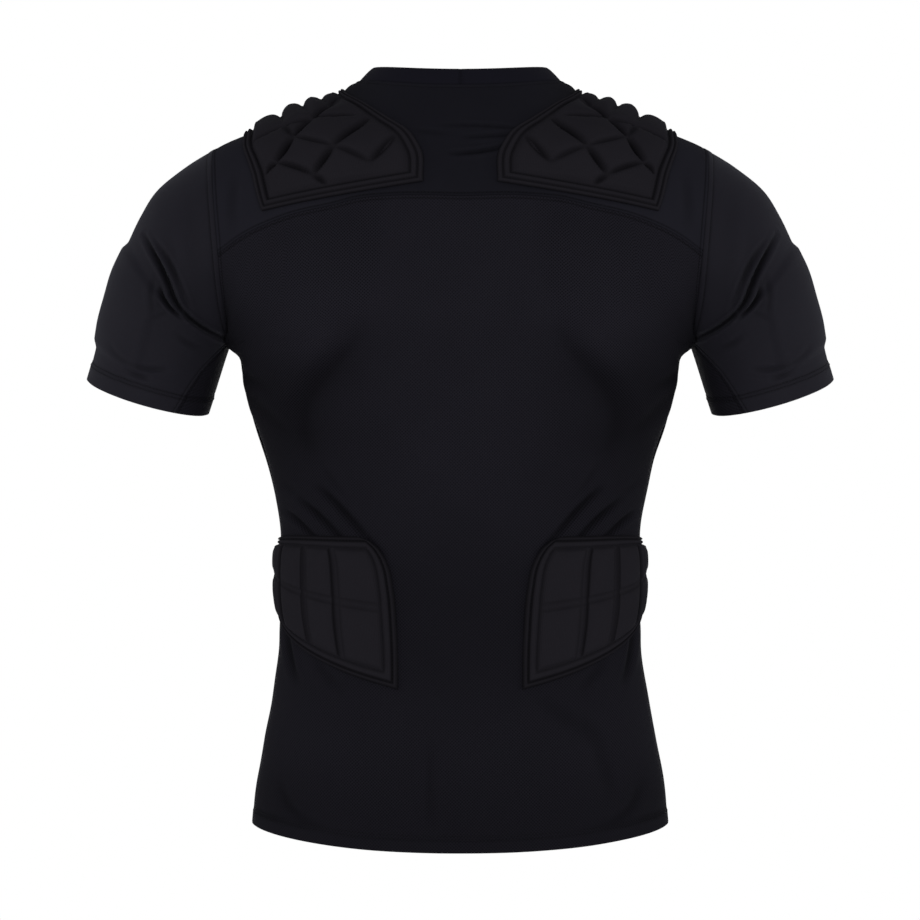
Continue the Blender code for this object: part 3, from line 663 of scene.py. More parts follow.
def mirrored(piece, name):
    """The same piece for the other side of the body."""
    mesh = piece.data.copy()
    mesh.name = name
    mesh.transform(MIRROR)
    mesh.flip_normals()
    return new_object(name, mesh)


print("plain eyelets, as a share of the largest:", EYELETS_PLAIN)

# %% [markdown]
# ## Shared weaves
# An effect that several cloths use is a node group with named sockets. The jersey knit is made of rows of
# slanted loops. The tone group makes the dye slightly cloudy, as it is on any dark cloth, and the painted
# shade group darkens the colour in folds, seams and grooves, where less light reaches, and by the stretch
# number, which paints shade where less of the lights reaches the body and is least over the blades. The
# eyelet net, small holes in a diamond layout, serves the mesh alone, but a group keeps its many nodes
# together. All of them read what each point keeps, so the weave runs with the panel, not with the room.

# %% Node group helpers
FLOAT, VECTOR = "NodeSocketFloat", "NodeSocketVector"


def new_group(name, inputs, outputs):
    """A shader node group with named sockets, and its input and output nodes."""
    group = bpy.data.node_groups.new(name, "ShaderNodeTree")
    for socket, kind, value in inputs:
        made = group.interface.new_socket(name=socket, in_out="INPUT", socket_type=kind)
        if value is not None:
            made.default_value = value
    for socket in outputs:
        group.interface.new_socket(name=socket, in_out="OUTPUT", socket_type=FLOAT)
    return group, group.nodes.new("NodeGroupInput").outputs, group.nodes.new("NodeGroupOutput").inputs


def feed(tree, socket, value):
    """Links an output to a socket, or sets a number on it."""
    if isinstance(value, bpy.types.NodeSocket):
        tree.links.new(value, socket)
    else:
        socket.default_value = value


def calc(tree, operation, *values):
    """One Math node."""
    node = tree.nodes.new("ShaderNodeMath")
    node.operation = operation
    for socket, value in zip(node.inputs, values):
        feed(tree, socket, value)
    return node.outputs["Value"]


def plus(tree, value, mask, amount):
    """A value and some of a mask."""
    return calc(tree, "MULTIPLY_ADD", mask, amount, value)


def fall(tree, value, low, high):
    """1 up to a low limit of a value, 0 from a high one, with a soft change between."""
    node = tree.nodes.new("ShaderNodeMapRange")
    node.interpolation_type = "SMOOTHSTEP"
    limits = {"Value": value, "From Min": low, "From Max": high, "To Min": 1.0, "To Max": 0.0}
    for name, number in limits.items():
        feed(tree, node.inputs[name], number)
    return node.outputs["Result"]


def split(tree, vector):
    """The three numbers of a vector."""
    node = tree.nodes.new("ShaderNodeSeparateXYZ")
    feed(tree, node.inputs[0], vector)
    return node.outputs["X"], node.outputs["Y"], node.outputs["Z"]


def noise(tree, vector, scale, detail):
    """Cloudy noise between 0 and 1."""
    node = tree.nodes.new("ShaderNodeTexNoise")
    feed(tree, node.inputs["Vector"], vector)
    for name, number in {"Scale": scale, "Detail": detail}.items():
        node.inputs[name].default_value = number
    return node.outputs["Fac"]


print("node groups before the weaves:", len(bpy.data.node_groups))

# %% Eyelet net and jersey knit
NET_PITCH, NET_RADIUS, HOLE_EDGE = 0.0026, 0.23, 0.12
WALE, COURSE_SHARE = 0.0011, 0.8
LOOP_HEIGHT, GAP_LIMITS = 0.35, (0.1, 0.55)


def eyelet_net():
    """Round holes in a diamond layout: Hole is 1 inside them."""
    inputs = [("Place", VECTOR, None), ("Pitch", FLOAT, NET_PITCH), ("Radius", FLOAT, NET_RADIUS)]
    group, given, made = new_group("eyelet_net", inputs, ["Hole"])
    x, y, _ = split(group, given["Place"])
    squares = []
    for operation in ("ADD", "SUBTRACT"):
        diagonal = calc(group, "DIVIDE", calc(group, operation, x, y), given["Pitch"])
        offset = calc(group, "SUBTRACT", calc(group, "FRACT", diagonal), 0.5)
        squares.append(calc(group, "MULTIPLY", offset, offset))
    away = calc(group, "SQRT", calc(group, "ADD", *squares))
    edge = calc(group, "ADD", given["Radius"], HOLE_EDGE)
    group.links.new(fall(group, away, given["Radius"], edge), made["Hole"])
    return group


def jersey_knit():
    """Columns of slanted loops: Height is the thread's, and Gap is 1 between threads."""
    inputs = [("Place", VECTOR, None), ("Wale", FLOAT, WALE)]
    group, given, made = new_group("jersey_knit", inputs, ["Height", "Gap"])
    x, y, _ = split(group, given["Place"])
    column = calc(group, "FRACT", calc(group, "DIVIDE", x, given["Wale"]))
    middle = calc(group, "ABSOLUTE", calc(group, "SUBTRACT", column, 0.5))
    course = calc(group, "DIVIDE", y, calc(group, "MULTIPLY", given["Wale"], COURSE_SHARE))
    slanted = calc(group, "ADD", course, middle)
    loop = calc(group, "SINE", calc(group, "MULTIPLY", slanted, 2 * math.pi))
    rib = calc(group, "SINE", calc(group, "MULTIPLY", column, math.pi))
    height = plus(group, rib, loop, LOOP_HEIGHT)
    group.links.new(height, made["Height"])
    group.links.new(fall(group, height, *GAP_LIMITS), made["Gap"])
    return group


NET, KNIT = eyelet_net(), jersey_knit()
print("weaves:", NET.name, "with holes every", NET_PITCH / MM, "mm, and", KNIT.name)

# %% Cloudy dye and painted shade
CLOUDINESS = 0.16
BROAD_CLOUDS = {"scale": 22.0, "detail": 3.0}
FINE_FLECKS = {"scale": 900.0, "detail": 1.0}
BROAD_SHARE, FINE_SHARE = 1.1, 0.9
HOLLOW_SHADE, STRETCH_SHADE = 0.72, 0.40


def cloudy_dye():
    """Tone is about 1 and drifts by Amount, broadly and in fine flecks along the thread."""
    inputs = [("Place", VECTOR, None), ("Amount", FLOAT, CLOUDINESS)]
    group, given, made = new_group("cloudy_dye", inputs, ["Tone"])
    broad = noise(group, given["Place"], **BROAD_CLOUDS)
    fine = noise(group, given["Place"], **FINE_FLECKS)
    drift = plus(group, plus(group, -1.0, broad, BROAD_SHARE), fine, FINE_SHARE)
    group.links.new(plus(group, 1.0, drift, given["Amount"]), made["Tone"])
    return group


def painted_shade():
    """Painted shade: 1 on taut cloth, less down in folds, seams and grooves, and less by the stretch
    number.
    """
    inputs = [("Hollow", FLOAT, 0.0), ("Stretch", FLOAT, 0.0)]
    group, given, made = new_group("painted_shade", inputs, ["Shade"])
    in_folds = plus(group, 1.0, given["Hollow"], -HOLLOW_SHADE)
    where_stretched = plus(group, 1.0, given["Stretch"], -STRETCH_SHADE)
    group.links.new(calc(group, "MULTIPLY", in_folds, where_stretched), made["Shade"])
    return group


DYE, PAINTED_SHADE = cloudy_dye(), painted_shade()
print("groups:", [group.name for group in (NET, KNIT, DYE, PAINTED_SHADE)])

# %% [markdown]
# ## The cloths
# All the cloths are black, yet they differ: the sleeves are satin, the body is an eyelet mesh, the pads
# wear a matt knit, and the neckband is dull. Each is one Principled shader. Its colour is darker in the
# holes and between the threads, its roughness follows the same masks, and a Bump node gives the relief of
# the thread. Sheen stands for the fine fibre ends that catch light where the cloth turns away.

# %% Weave of a cloth
GAP_SHADE, GAP_ROUGHNESS, HOLE_ROUGHNESS = 0.18, 0.10, 0.15
STRETCH_OPEN = 0.10
KNIT_BUMP, NET_BUMP = 0.25, 0.7


def use_group(tree, group, **values):
    """Places a node group in a material with its own values."""
    node = tree.nodes.new("ShaderNodeGroup")
    node.node_tree = group
    for name, value in values.items():
        feed(tree, node.inputs[name], value)
    return node.outputs


def kept(tree, name):
    """What the points of a piece keep under a name."""
    node = tree.nodes.new("ShaderNodeAttribute")
    node.attribute_name = name
    return node.outputs["Vector"]


def weave(tree, roughness, net, wale):
    """Shade with painted shade in it, thread height and roughness of a knit, with eyelets where it is a
    net.
    """
    place = kept(tree, "cloth_place")
    hollow, stretch, eyelets = split(tree, kept(tree, "painted_shade_stretch_eyelets"))
    knit = use_group(tree, KNIT, Place=place, Wale=wale)
    tone = use_group(tree, DYE, Place=place, Amount=CLOUDINESS)["Tone"]
    # Painted shade in folds, seams and grooves, and by the stretch number.
    painted_dark = use_group(tree, PAINTED_SHADE, Hollow=hollow, Stretch=stretch)["Shade"]
    shade = calc(tree, "MULTIPLY", plus(tree, tone, knit["Gap"], -GAP_SHADE), painted_dark)
    height = calc(tree, "MULTIPLY", knit["Height"], KNIT_BUMP)
    roughness = plus(tree, roughness, knit["Gap"], GAP_ROUGHNESS)
    if net:
        radius = plus(tree, NET_RADIUS, stretch, STRETCH_OPEN)
        hole = use_group(tree, NET, Place=place, Pitch=NET_PITCH, Radius=radius)["Hole"]
        light = plus(tree, 1.0, hole, calc(tree, "MULTIPLY", eyelets, -net))
        shade = calc(tree, "MULTIPLY", shade, light)
        height = plus(tree, height, hole, -NET_BUMP)
        roughness = plus(tree, roughness, hole, HOLE_ROUGHNESS)
    return shade, height, roughness


print("gaps between threads are darker by", GAP_SHADE)

# %% One material for each cloth
CLOTH_COLUMNS = ("colour", "roughness", "gloss", "sheen", "net", "wale")
CLOTHS = {
    "mesh_knit": ((0.0275, 0.0258, 0.0358), 0.70, 0.06, 0.02, 0.55, 0.0009),
    "smooth_knit": ((0.0249, 0.0242, 0.0337), 0.66, 0.05, 0.01, 0.0, 0.0008),
    "sleeve_knit": ((0.0256, 0.0241, 0.0334), 0.62, 0.10, 0.12, 0.0, 0.0008),
    "band_knit": ((0.0148, 0.0140, 0.0230), 0.66, 0.08, 0.02, 0.0, 0.0016),
    "pad_cover": ((0.0276, 0.0254, 0.0318), 0.80, 0.05, 0.02, 0.0, 0.0010),
    "thread": ((0.0150, 0.0145, 0.0185), 0.60, 0.14, 0.02, 0.0, 0.0004),
}
BUMP_STRENGTH, BUMP_DISTANCE = 0.6, 0.0003
SHEEN_ROUGHNESS = 0.45
SHEEN_COLOUR = (0.85, 0.87, 1.0, 1)


def cloth_material(name, colour, roughness, gloss, sheen, net, wale):
    """A black cloth."""
    material = bpy.data.materials.new(name)
    material.use_nodes = True
    tree = material.node_tree
    shader = tree.nodes["Principled BSDF"]
    shade, height, roughness = weave(tree, roughness, net, wale)
    tint = tree.nodes.new("ShaderNodeVectorMath")
    tint.operation = "SCALE"
    tint.inputs[0].default_value = colour
    tree.links.new(shade, tint.inputs["Scale"])
    bump = tree.nodes.new("ShaderNodeBump")
    bump.inputs["Strength"].default_value = BUMP_STRENGTH
    bump.inputs["Distance"].default_value = BUMP_DISTANCE
    tree.links.new(height, bump.inputs["Height"])
    tree.links.new(tint.outputs["Vector"], shader.inputs["Base Color"])
    tree.links.new(roughness, shader.inputs["Roughness"])
    tree.links.new(bump.outputs["Normal"], shader.inputs["Normal"])
    shader.inputs["Specular IOR Level"].default_value = gloss
    shader.inputs["Sheen Weight"].default_value = sheen
    shader.inputs["Sheen Roughness"].default_value = SHEEN_ROUGHNESS
    shader.inputs["Sheen Tint"].default_value = SHEEN_COLOUR
    return material


MATERIALS = {
    name: cloth_material(name, **dict(zip(CLOTH_COLUMNS, values))) for name, values in CLOTHS.items()
}
print("cloths:", list(MATERIALS))

# %% Dressing a piece
def dress(piece, slot, *nodes):
    """Gives a piece its cloth, lets it ride on the one body, and hides the solids that it stands for."""
    piece.data.materials.append(MATERIALS[slot])
    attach(piece, "root")
    if nodes:
        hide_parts(*nodes)
    print(piece.name, "triangles:", sum(len(face.vertices) - 2 for face in piece.data.polygons))
    return piece


print("solids to dress:", len(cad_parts))

# %% [markdown]
# ## How the back lies
# The cloth of the back gathers above the waist pads, where the stiff foam stops it, and has a few lazy
# folds at the hem. It is fuller over the lower back and hollow beside the armpits. A stretched knit has
# wider holes, so one more table says where the mesh is pulled, and the same numbers paint shade on the
# flanks and the lower back, where less of the lights reaches, and least over the blades, which catch the
# light. The last table paints shade where the arm and the side shade the back. All four are read in the
# same way.

# %% Folds, fullness, stretch and painted shade of the back
BACK_FOLDS = (
    (138, -289, 129, -294, 110, -314, 2.8, 2.5, BOTH),
    (126, -280, 110, -289, 86, -318, 3.0, 2.9, BOTH),
    (110, -270, 96, -280, 62, -322, 3.0, 3.2, BOTH),
    (108, -250, 100, -264, 85, -284, 0.8, 3.0, BOTH),
    (143, -262, 134, -272, 120, -280, 0.6, 3.6, BOTH),
    (138, -374, 138, -400, 128, -422, 2.6, 2.8, BOTH),
    (114, -404, 106, -416, 92, -428, 1.0, 4.0, BOTH),
    (-22, -464, -24, -500, -22, -533, 0.8, 3.6, ONE),
    (141, -500, 138, -528, 106, -533, 1.2, 4.4, BOTH),
    (100, -455, 112, -480, 118, -512, 0.9, 7.0, ONE),
    (60, -430, 82, -452, 110, -462, 0.8, 8.0, ONE),
    (180, -166, 166, -184, 148, -192, 1.4, 4.5, BOTH),
    (172, -184, 156, -208, 136, -228, 1.0, 5.5, BOTH),
)
SIDE_FULLNESS = (
    (88, 49, 8, 7, 2.6, 1.0),
    (178, -167, 12, 8, -5.0, 1.0),
    (172, -193, 16, 15, -1.7, 1.2),
)
BACK_FULLNESS = (
    (0, -160, 22, 120, -1.6, 1.0),
    (150, -214, 30, 40, -2.4, 1.0),
    (78, -250, 46, 60, 1.2, 1.0),
    (84, -474, 62, 50, 1.6, 1.0),
    *SIDE_FULLNESS,
)
# Stretch of the mesh, with painted shade in the same numbers: darker on the flanks and the lower back, and
# lighter over the blades, where the rows below zero stand for the light that they catch.
STRETCHED_AND_SHADED = (
    (0, -250, 400, 400, 0.20, 4.0),
    (104, -138, 46, 30, -0.24, 1.2),
    (156, -214, 42, 62, 0.54, 1.2),
    (112, -184, 44, 16, 0.25, 1.0),
    (132, -288, 46, 32, 0.06, 1.2),
    (102, -248, 48, 46, 0.32, 1.0),
    (0, -378, 400, 85, 0.57, 1.2),
    (0, -535, 400, 62, 0.66, 1.0),
)
# Painted shade under the arm, down the flank and by the corners of the hem.
SHADED = (
    (182, -152, 20, 30, 0.75, 1.0),
    (158, -215, 26, 60, 0.22, 1.2),
    (150, -508, 24, 26, 0.24, 1.0),
)


def stretched_open(points):
    """Where the mesh is pulled open, with painted shade: the flanks and lower back, least the lit blades.
    """
    return np.clip(fullness_relief(points, STRETCHED_AND_SHADED), 0, 1)


print("folds of the back:", len(BACK_FOLDS), "places of fullness:", len(BACK_FULLNESS))

# %% [markdown]
# ## Shoulder blades
# The wearer's shoulder blades push the cloth out, and it falls away below them, with shade painted along
# their foot. Over the blades and down the flanks the mesh is knitted with larger eyelets, without a seam.
# All three follow one line, the edge of the blades, so it is one table of distances from the centre.

# %% Edge of the blades
BLADE_COLUMNS = ("z", "from_centre")
BLADE_EDGE = (
    (-302, 74), (-269, 98), (-248, 110), (-225, 120), (-207, 119),
    (-191, 110), (-174, 96), (-156, 81), (-118, 66), (-40, 56),
)
BLADE = table(BLADE_COLUMNS, BLADE_EDGE)
BLADE_HEIGHT, BLADE_SOFT, BLADE_FADE = 6.5, 12.0, 34.0
BLADE_LOW = {"middle": -216, "half_width": 26}
FOOT_SHADE, FOOT_TO_BLADE, FOOT_TO_CENTRE = 0.42, 15.0, 24.0
FOOT_LINE, FOOT_LINE_HALF = 0.14, 6.0
FOOT_LOW = {"middle": -240, "half_width": 16}
FOOT_HIGH = {"middle": -148, "half_width": 22}
OPEN_EDGE = {"middle": 2.0, "half_width": 5.0}
OPEN_LOW = {"middle": -318, "half_width": 14}


def from_blade_edge(points):
    """Distance from the blade's edge, more than 0 on the blade."""
    level = np.clip(points[..., 2], BLADE["z"][0], BLADE["z"][-1])
    return np.abs(points[..., 0]) - smooth(level, BLADE["z"], BLADE["from_centre"])


def blade_relief(points, from_seams):
    """Fullness over the shoulder blades, which ends at a slanting edge and fades towards the seams."""
    inside = soft_step(from_blade_edge(points), BLADE_SOFT, BLADE_SOFT)
    free = soft_step(from_seams, BLADE_FADE / 2, BLADE_FADE / 2)
    return BLADE_HEIGHT * inside * soft_step(points[..., 2], **BLADE_LOW) * free


def blade_foot(points):
    """Painted shade along the foot of the blade, where the cloth falls away under it: broad, with a finer
    line.
    """
    away, level = from_blade_edge(points), points[..., 2]
    broad = FOOT_SHADE * bell(np.maximum(away, 0), FOOT_TO_BLADE)
    broad = broad * np.exp(np.minimum(away, 0) / FOOT_TO_CENTRE)
    fade = soft_step(level, **FOOT_LOW) * (1 - soft_step(level, **FOOT_HIGH))
    return (broad + FOOT_LINE * bell(away, FOOT_LINE_HALF)) * fade


def knitted_open(points):
    """Where the eyelets are largest: over the blades and flanks, with a soft edge to the centre."""
    zone = soft_step(from_blade_edge(points), **OPEN_EDGE) * soft_step(points[..., 2], **OPEN_LOW)
    return EYELETS_PLAIN + (1 - EYELETS_PLAIN) * zone


print("blades stand out by up to", BLADE_HEIGHT, "mm")

# %% [markdown]
# ## Back panel
# The largest panel is one piece of eyelet mesh, from the hem up to the yoke seam and from side seam to
# side seam. Its rows follow the hem at the bottom and the curved seam at the top, so that each edge of the
# grid is an edge of the cut cloth. More lines are added over the flanks and where the folds gather.

# %% Back panel
HEM_HEIGHT = 12.5
BACK_BREADTH, BACK_LENGTH = 500.0, 505.0
YOKE_SEAM_COLUMNS = ("from_centre", "level")
YOKE_SEAM = ((0, -44.0), (54, -44.0), (81, -46.5), (97, -50.5), (139, -60.5), (173, -75.5), (188, -85.5))
SEAM = table(YOKE_SEAM_COLUMNS, YOKE_SEAM)
SEAM_ROUNDS = 12
FLANK_FROM, FLANK_TO = 0.52, 0.97
GATHERS_LOW, GATHERS_HIGH = -326, -248


def yoke_seam_levels(shares):
    """Level of the yoke seam in each column of the back, where its distance from the centre agrees."""
    level = np.full_like(shares, YOKE_SEAM[0][1])
    for _ in range(SEAM_ROUNDS):
        from_centre = np.abs(body(shares * edge_turn(level, False), level)[..., 0])
        level = smooth(from_centre, SEAM["from_centre"], SEAM["level"])
    return level


SEAM_EDGE = float(yoke_seam_levels(np.ones(1))[0])


def side_share(level):
    """Share of the way from the hem to the yoke seam at the side."""
    return (level - HEM_LEVEL) / (SEAM_EDGE - HEM_LEVEL)


back_shares = 2 * spread(BACK_BREADTH, FINE_STEP) - 1
back_shares = finer(finer(back_shares, FLANK_FROM, FLANK_TO), -FLANK_TO, -FLANK_FROM)
back_seam = yoke_seam_levels(back_shares)
back_rows = spread(BACK_LENGTH, FINE_STEP, (side_share(ARMPIT_LEVEL),))
back_rows = finer(back_rows, side_share(GATHERS_LOW), side_share(GATHERS_HIGH))[:, None]
back_level = HEM_LEVEL + (back_seam - HEM_LEVEL) * back_rows
back_form = body(back_shares * edge_turn(back_level, False), back_level)
from_hem, from_yoke, from_sides = edge_distances(back_form)
back_folds = fold_relief(back_form, BACK_FOLDS)
back_rise = fullness_relief(back_form, BACK_FULLNESS) + back_folds + unevenness(back_form)
back_rise += blade_relief(back_form, np.minimum(from_yoke, from_sides))
back_rise += hem_roll(from_hem, HEM_HEIGHT) + seam_roll(from_sides) + seam_roll(from_yoke, YOKE_ROW)
# Painted shade down in the folds, along the foot of the blades, in the shaded places, and along the hem and
# seams.
back_dark = fold_hollow(back_folds) + blade_foot(back_form) + fullness_relief(back_form, SHADED)
back_dark += hem_hollow(from_hem, HEM_HEIGHT) + seam_hollow(from_sides) + seam_hollow(from_yoke, YOKE_ROW)
back_cloth, back_outer, back_out = wall_on(
    "back_panel_cloth", back_form, back_rise, hem_cloth(from_hem, HEM_HEIGHT), back_dark,
    stretch=stretched_open(back_form), eyelets=knitted_open(back_form),
)
dress(back_cloth, "mesh_knit", "back_panel")

# %% [markdown]
# ## Back yoke
# The yoke is a smooth, firmer knit. It carries the shoulder pads and reaches over the shoulders to the
# neck, so its rows run from the curved seam to the neckband. Only a few small tension creases show beside
# the pads. At the edge the rows are close together near the shoulder point, where the armhole turns
# quickly, and further in they spread out evenly, so that no face of the grid is pulled into a sliver.

# %% Back yoke
YOKE_LENGTH, EDGE_PULL = 150.0, 4
ARMHOLE_ROWS = np.array([3, 6, 9, 12, 15, 18, 22, 26, 32, 40, 48, 56, 64, 72, 80])
CREASES_FROM, CREASES_TO = 0.26, 0.66
BESIDE_ARMHOLE = {"middle": -50, "half_width": 25}
YOKE_UNEVEN = 0.6
YOKE_FOLDS = (
    (-13, 12.7, 20, 14.5, 60, 7.5, 1.3, 1.9, ONE),
    (3, 3.2, 22, 3.6, 52, 6, 1.4, 1.9, ONE),
    (-8, -9.8, 16, -11, 50, -0.5, 2.1, 2.0, ONE),
    (-10, 6, -24, 7, -38, 9, 0.7, 2.2, ONE),
    (176, -24, 180, -44, 178, -66, 0.9, 5.0, BOTH),
)
# Painted shade: over the middle of the yoke through the stretch number, which opens no eyelets on the
# smooth knit, and on the slopes by the neck.
YOKE_CENTRE_SHADE = ((0, 0, 100, 150, 0.68, 2.0),)
YOKE_SHADED = ((90, 46, 22, 16, 0.5, 1.0),)


def yoke_share(level):
    """Share of the way from the yoke seam to the neck, at the armhole."""
    return (level - SEAM_EDGE) / (NECK_LEVEL - SEAM_EDGE)


def even_count(rows, shares):
    """A grid's rows again, at other shares of their number."""
    return np.interp(shares, np.linspace(0, 1, len(rows)), rows)[:, None]


armhole_shares = yoke_share(armhole_level(ARMHOLE_ROWS))
needed_shares = (yoke_share(SHOULDER_LEVEL), *armhole_shares[armhole_shares > 0])
edge_rows = spread(YOKE_LENGTH, FINE_STEP, needed_shares)
row_shares = finer(np.linspace(0, 1, len(edge_rows)), CREASES_FROM, CREASES_TO)
edge_rows = even_count(edge_rows, row_shares)
even_rows = even_count(spread(YOKE_LENGTH, FINE_STEP), row_shares)
yoke_rows = even_rows + (edge_rows - even_rows) * np.abs(back_shares) ** EDGE_PULL
yoke_level = back_seam + (NECK_LEVEL - back_seam) * yoke_rows
edge_level = SEAM_EDGE + (NECK_LEVEL - SEAM_EDGE) * edge_rows
by_armhole = soft_step(edge_level, **BESIDE_ARMHOLE)
yoke_turn = edge_turn(yoke_level, False) * (1 - by_armhole) + edge_turn(edge_level, False) * by_armhole
yoke_form = body(back_shares * yoke_turn, yoke_level)
from_seam, from_neck, from_sides = edge_distances(yoke_form)
yoke_folds = fold_relief(yoke_form, YOKE_FOLDS)
yoke_rise = fullness_relief(yoke_form, BACK_FULLNESS) + yoke_folds + YOKE_UNEVEN * unevenness(yoke_form)
yoke_rise += seam_roll(from_sides) + seam_roll(from_seam, YOKE_ROW) + seam_roll(from_neck, YOKE_ROW)
# Painted shade in the creases, on the slopes by the neck and along the seams.
yoke_dark = fold_hollow(yoke_folds) + fullness_relief(yoke_form, YOKE_SHADED)
yoke_dark += seam_hollow(from_sides) + seam_hollow(from_seam, YOKE_ROW)
yoke_cloth, yoke_outer, yoke_out = wall_on(
    "back_yoke_cloth", yoke_form, yoke_rise, CLOTH, yoke_dark,
    stretch=fullness_relief(yoke_form, YOKE_CENTRE_SHADE),
)
dress(yoke_cloth, "smooth_knit", "back_yoke")

# %% [markdown]
# ## Front panel
# The front is cut in one from the hem to the neck and the shoulder seams. It lies like the back, with a
# little fullness over the chest and slanting folds of its own at the waist and by the armholes. Less
# happens on it, so its grid is coarser.

# %% Front panel
FRONT_LENGTH, FRONT_STEP = 620.0, 1.3 * FINE_STEP
FRONT_FOLDS = (
    (126, -280, 108, -300, 78, -308, 2.4, 6.0, BOTH),
    (104, -262, 84, -284, 60, -300, 2.0, 6.5, BOTH),
    (138, -300, 128, -312, 112, -318, 1.8, 4.5, BOTH),
    (120, -352, 104, -372, 84, -382, 1.4, 6.0, BOTH),
    (40, -330, 66, -344, 92, -340, 1.0, 8.0, ONE),
    (30, -300, 58, -318, 84, -322, 1.0, 8.0, ONE),
    (174, -172, 158, -196, 134, -214, 2.0, 6.5, BOTH),
    (170, -150, 150, -170, 122, -180, 1.4, 7.0, BOTH),
    (28, -452, 32, -490, 28, -528, 1.0, 6.0, ONE),
    (-96, -462, -104, -490, -100, -524, 0.9, 6.5, ONE),
)
FRONT_FULLNESS = (
    (84, -120, 70, 52, 3.2, 1.6),
    (0, -140, 18, 60, -1.2, 1.0),
    (0, -330, 26, 120, -1.2, 1.0),
    *SIDE_FULLNESS,
)
front_span = NECK_LEVEL - HEM_LEVEL
front_shares = 2 * spread(BACK_BREADTH, FRONT_STEP) - 1
needed_levels = np.array([ARMPIT_LEVEL, SHOULDER_LEVEL, *armhole_level(ARMHOLE_ROWS)])
front_rows = spread(FRONT_LENGTH, FRONT_STEP, (needed_levels - HEM_LEVEL) / front_span)[:, None]
front_level = HEM_LEVEL + front_span * front_rows + 0 * front_shares
front_turn = 180 + front_shares * (180 - edge_turn(front_level, True))
front_form = body(front_turn, front_level)
from_hem, from_neck, from_sides = edge_distances(front_form)
front_folds = fold_relief(front_form, FRONT_FOLDS)
front_rise = fullness_relief(front_form, FRONT_FULLNESS) + front_folds + unevenness(front_form)
front_rise += hem_roll(from_hem, HEM_HEIGHT) + seam_roll(from_sides) + seam_roll(from_neck, YOKE_ROW)
# Painted shade in the folds and along the seams and hem.
front_dark = fold_hollow(front_folds) + seam_hollow(from_sides) + hem_hollow(from_hem, HEM_HEIGHT)
front_cloth, front_outer, front_out = wall_on(
    "front_panel_cloth", front_form, front_rise, hem_cloth(from_hem, HEM_HEIGHT), front_dark,
    stretch=stretched_open(front_form),
)
dress(front_cloth, "mesh_knit", "front_panel")

# %% [markdown]
# ## Neckband
# The band is a strip of knit, folded double and sewn on under slight stretch, so it hugs the neck. It is
# a closed tube of rings from its seam to its rolled upper edge, with a short join at the centre back.

# %% Neckband
BAND_CLOTH = 2.4
BAND_ROUND, BAND_STEP, BAND_ROWS = 460.0, 2.2 * COARSE, 9
BAND_PUFF, BAND_PUFF_SHAPE = 0.7, 0.6
JOIN_TURN, JOIN_HALF, JOIN_DEPTH = 0.6, 0.9, 0.5
JOIN_SHADE, BAND_SEAM_SHADE = 1.2, 0.5
band_turn = np.linspace(0, 360, round(BAND_ROUND / BAND_STEP), endpoint=False)
band_rows = np.linspace(0, 1, BAND_ROWS)[:, None]
band_form = body(band_turn, NECK_LEVEL + (BAND_LEVEL - NECK_LEVEL) * band_rows)
band_puff = BAND_PUFF * np.sin(np.pi * band_rows) ** BAND_PUFF_SHAPE
from_join = (band_turn + 180) % 360 - 180 - JOIN_TURN
band_join = JOIN_DEPTH * bell(from_join, JOIN_HALF)
# Painted shade in the join's dent and along the band's seam.
band_dark = JOIN_SHADE * band_join + BAND_SEAM_SHADE * (band_rows == 0)
band_cloth, _, _ = wall_on(
    "neckband_cloth", band_form, band_puff - band_join, BAND_CLOTH, band_dark, closed=True,
)
dress(band_cloth, "band_knit", "neckband")

# %% [markdown]
# ## How the sleeve lies
# A foam slab is sewn behind the sleeve and lifts the cloth over the upper arm, with a small step all
# round. Deep folds run from the edge of the slab into the armpit, because the arm hangs lower than the
# sleeve was cut. The folds of the back and of the front are seen from their own side, and the two are
# blended over the top of the arm.

# %% Folds and foam of the sleeve
SLEEVE_FOLDS_BACK = (
    (250, -70, 236, -92, 220, -130, 4.4, 2.1, BOTH),
    (227, -117, 215, -142, 183, -153, 5.0, 2.0, BOTH),
    (236, -114, 232, -128, 215, -138, 4.4, 1.7, BOTH),
    (244, -72, 222, -95, 212, -132, 1.6, 2.2, BOTH),
    (241, -104, 243, -119, 240, -135, 1.0, 2.0, BOTH),
    (243, -140, 236, -134, 230, -133, 0.9, 1.8, BOTH),
    (262, -177, 254, -182, 244, -184, 1.6, 2.0, BOTH),
    (256, -174, 244, -178, 230, -177, 1.4, 2.0, BOTH),
    (274, -158, 266, -172, 252, -176, 1.0, 2.4, BOTH),
    (214, -36, 208, -70, 206, -104, 0.5, 6.0, BOTH),
    (222, -150, 214, -158, 204, -160, 1.2, 2.8, BOTH),
)
SLEEVE_FOLDS_FRONT = (
    (246, -70, 226, -128, 186, -150, 5.0, 3.4, BOTH),
    (232, -60, 212, -96, 206, -128, 3.0, 3.2, BOTH),
    (236, -118, 226, -132, 214, -140, 3.0, 2.8, BOTH),
    (262, -172, 248, -180, 230, -178, 1.5, 2.6, BOTH),
)
SLEEVE_FULLNESS = (
    (229, -112, 11, 26, -1.8, 1.0),
    (214, -100, 9, 30, 0.9, 1.0),
    (238, -142, 16, 12, 0.8, 1.0),
)
FOLD_START, FRONT_BLEND = 0.16, {"middle": 0, "half_width": 8}
ARM_PAD_RISE = 2.8
ARM_PAD_FROM = {"middle": 0.49, "half_width": 0.02}
ARM_PAD_TO = {"middle": 0.865, "half_width": 0.02}
ARM_PAD_AROUND = {"middle": 80.0, "half_width": 5.0}


def arm_pad_rise(around, along):
    """Height of the upper-arm foam under the sleeve's outside."""
    lengthways = soft_step(along, **ARM_PAD_FROM) - soft_step(along, **ARM_PAD_TO)
    return ARM_PAD_RISE * lengthways * (1 - soft_step(np.abs(around), **ARM_PAD_AROUND))


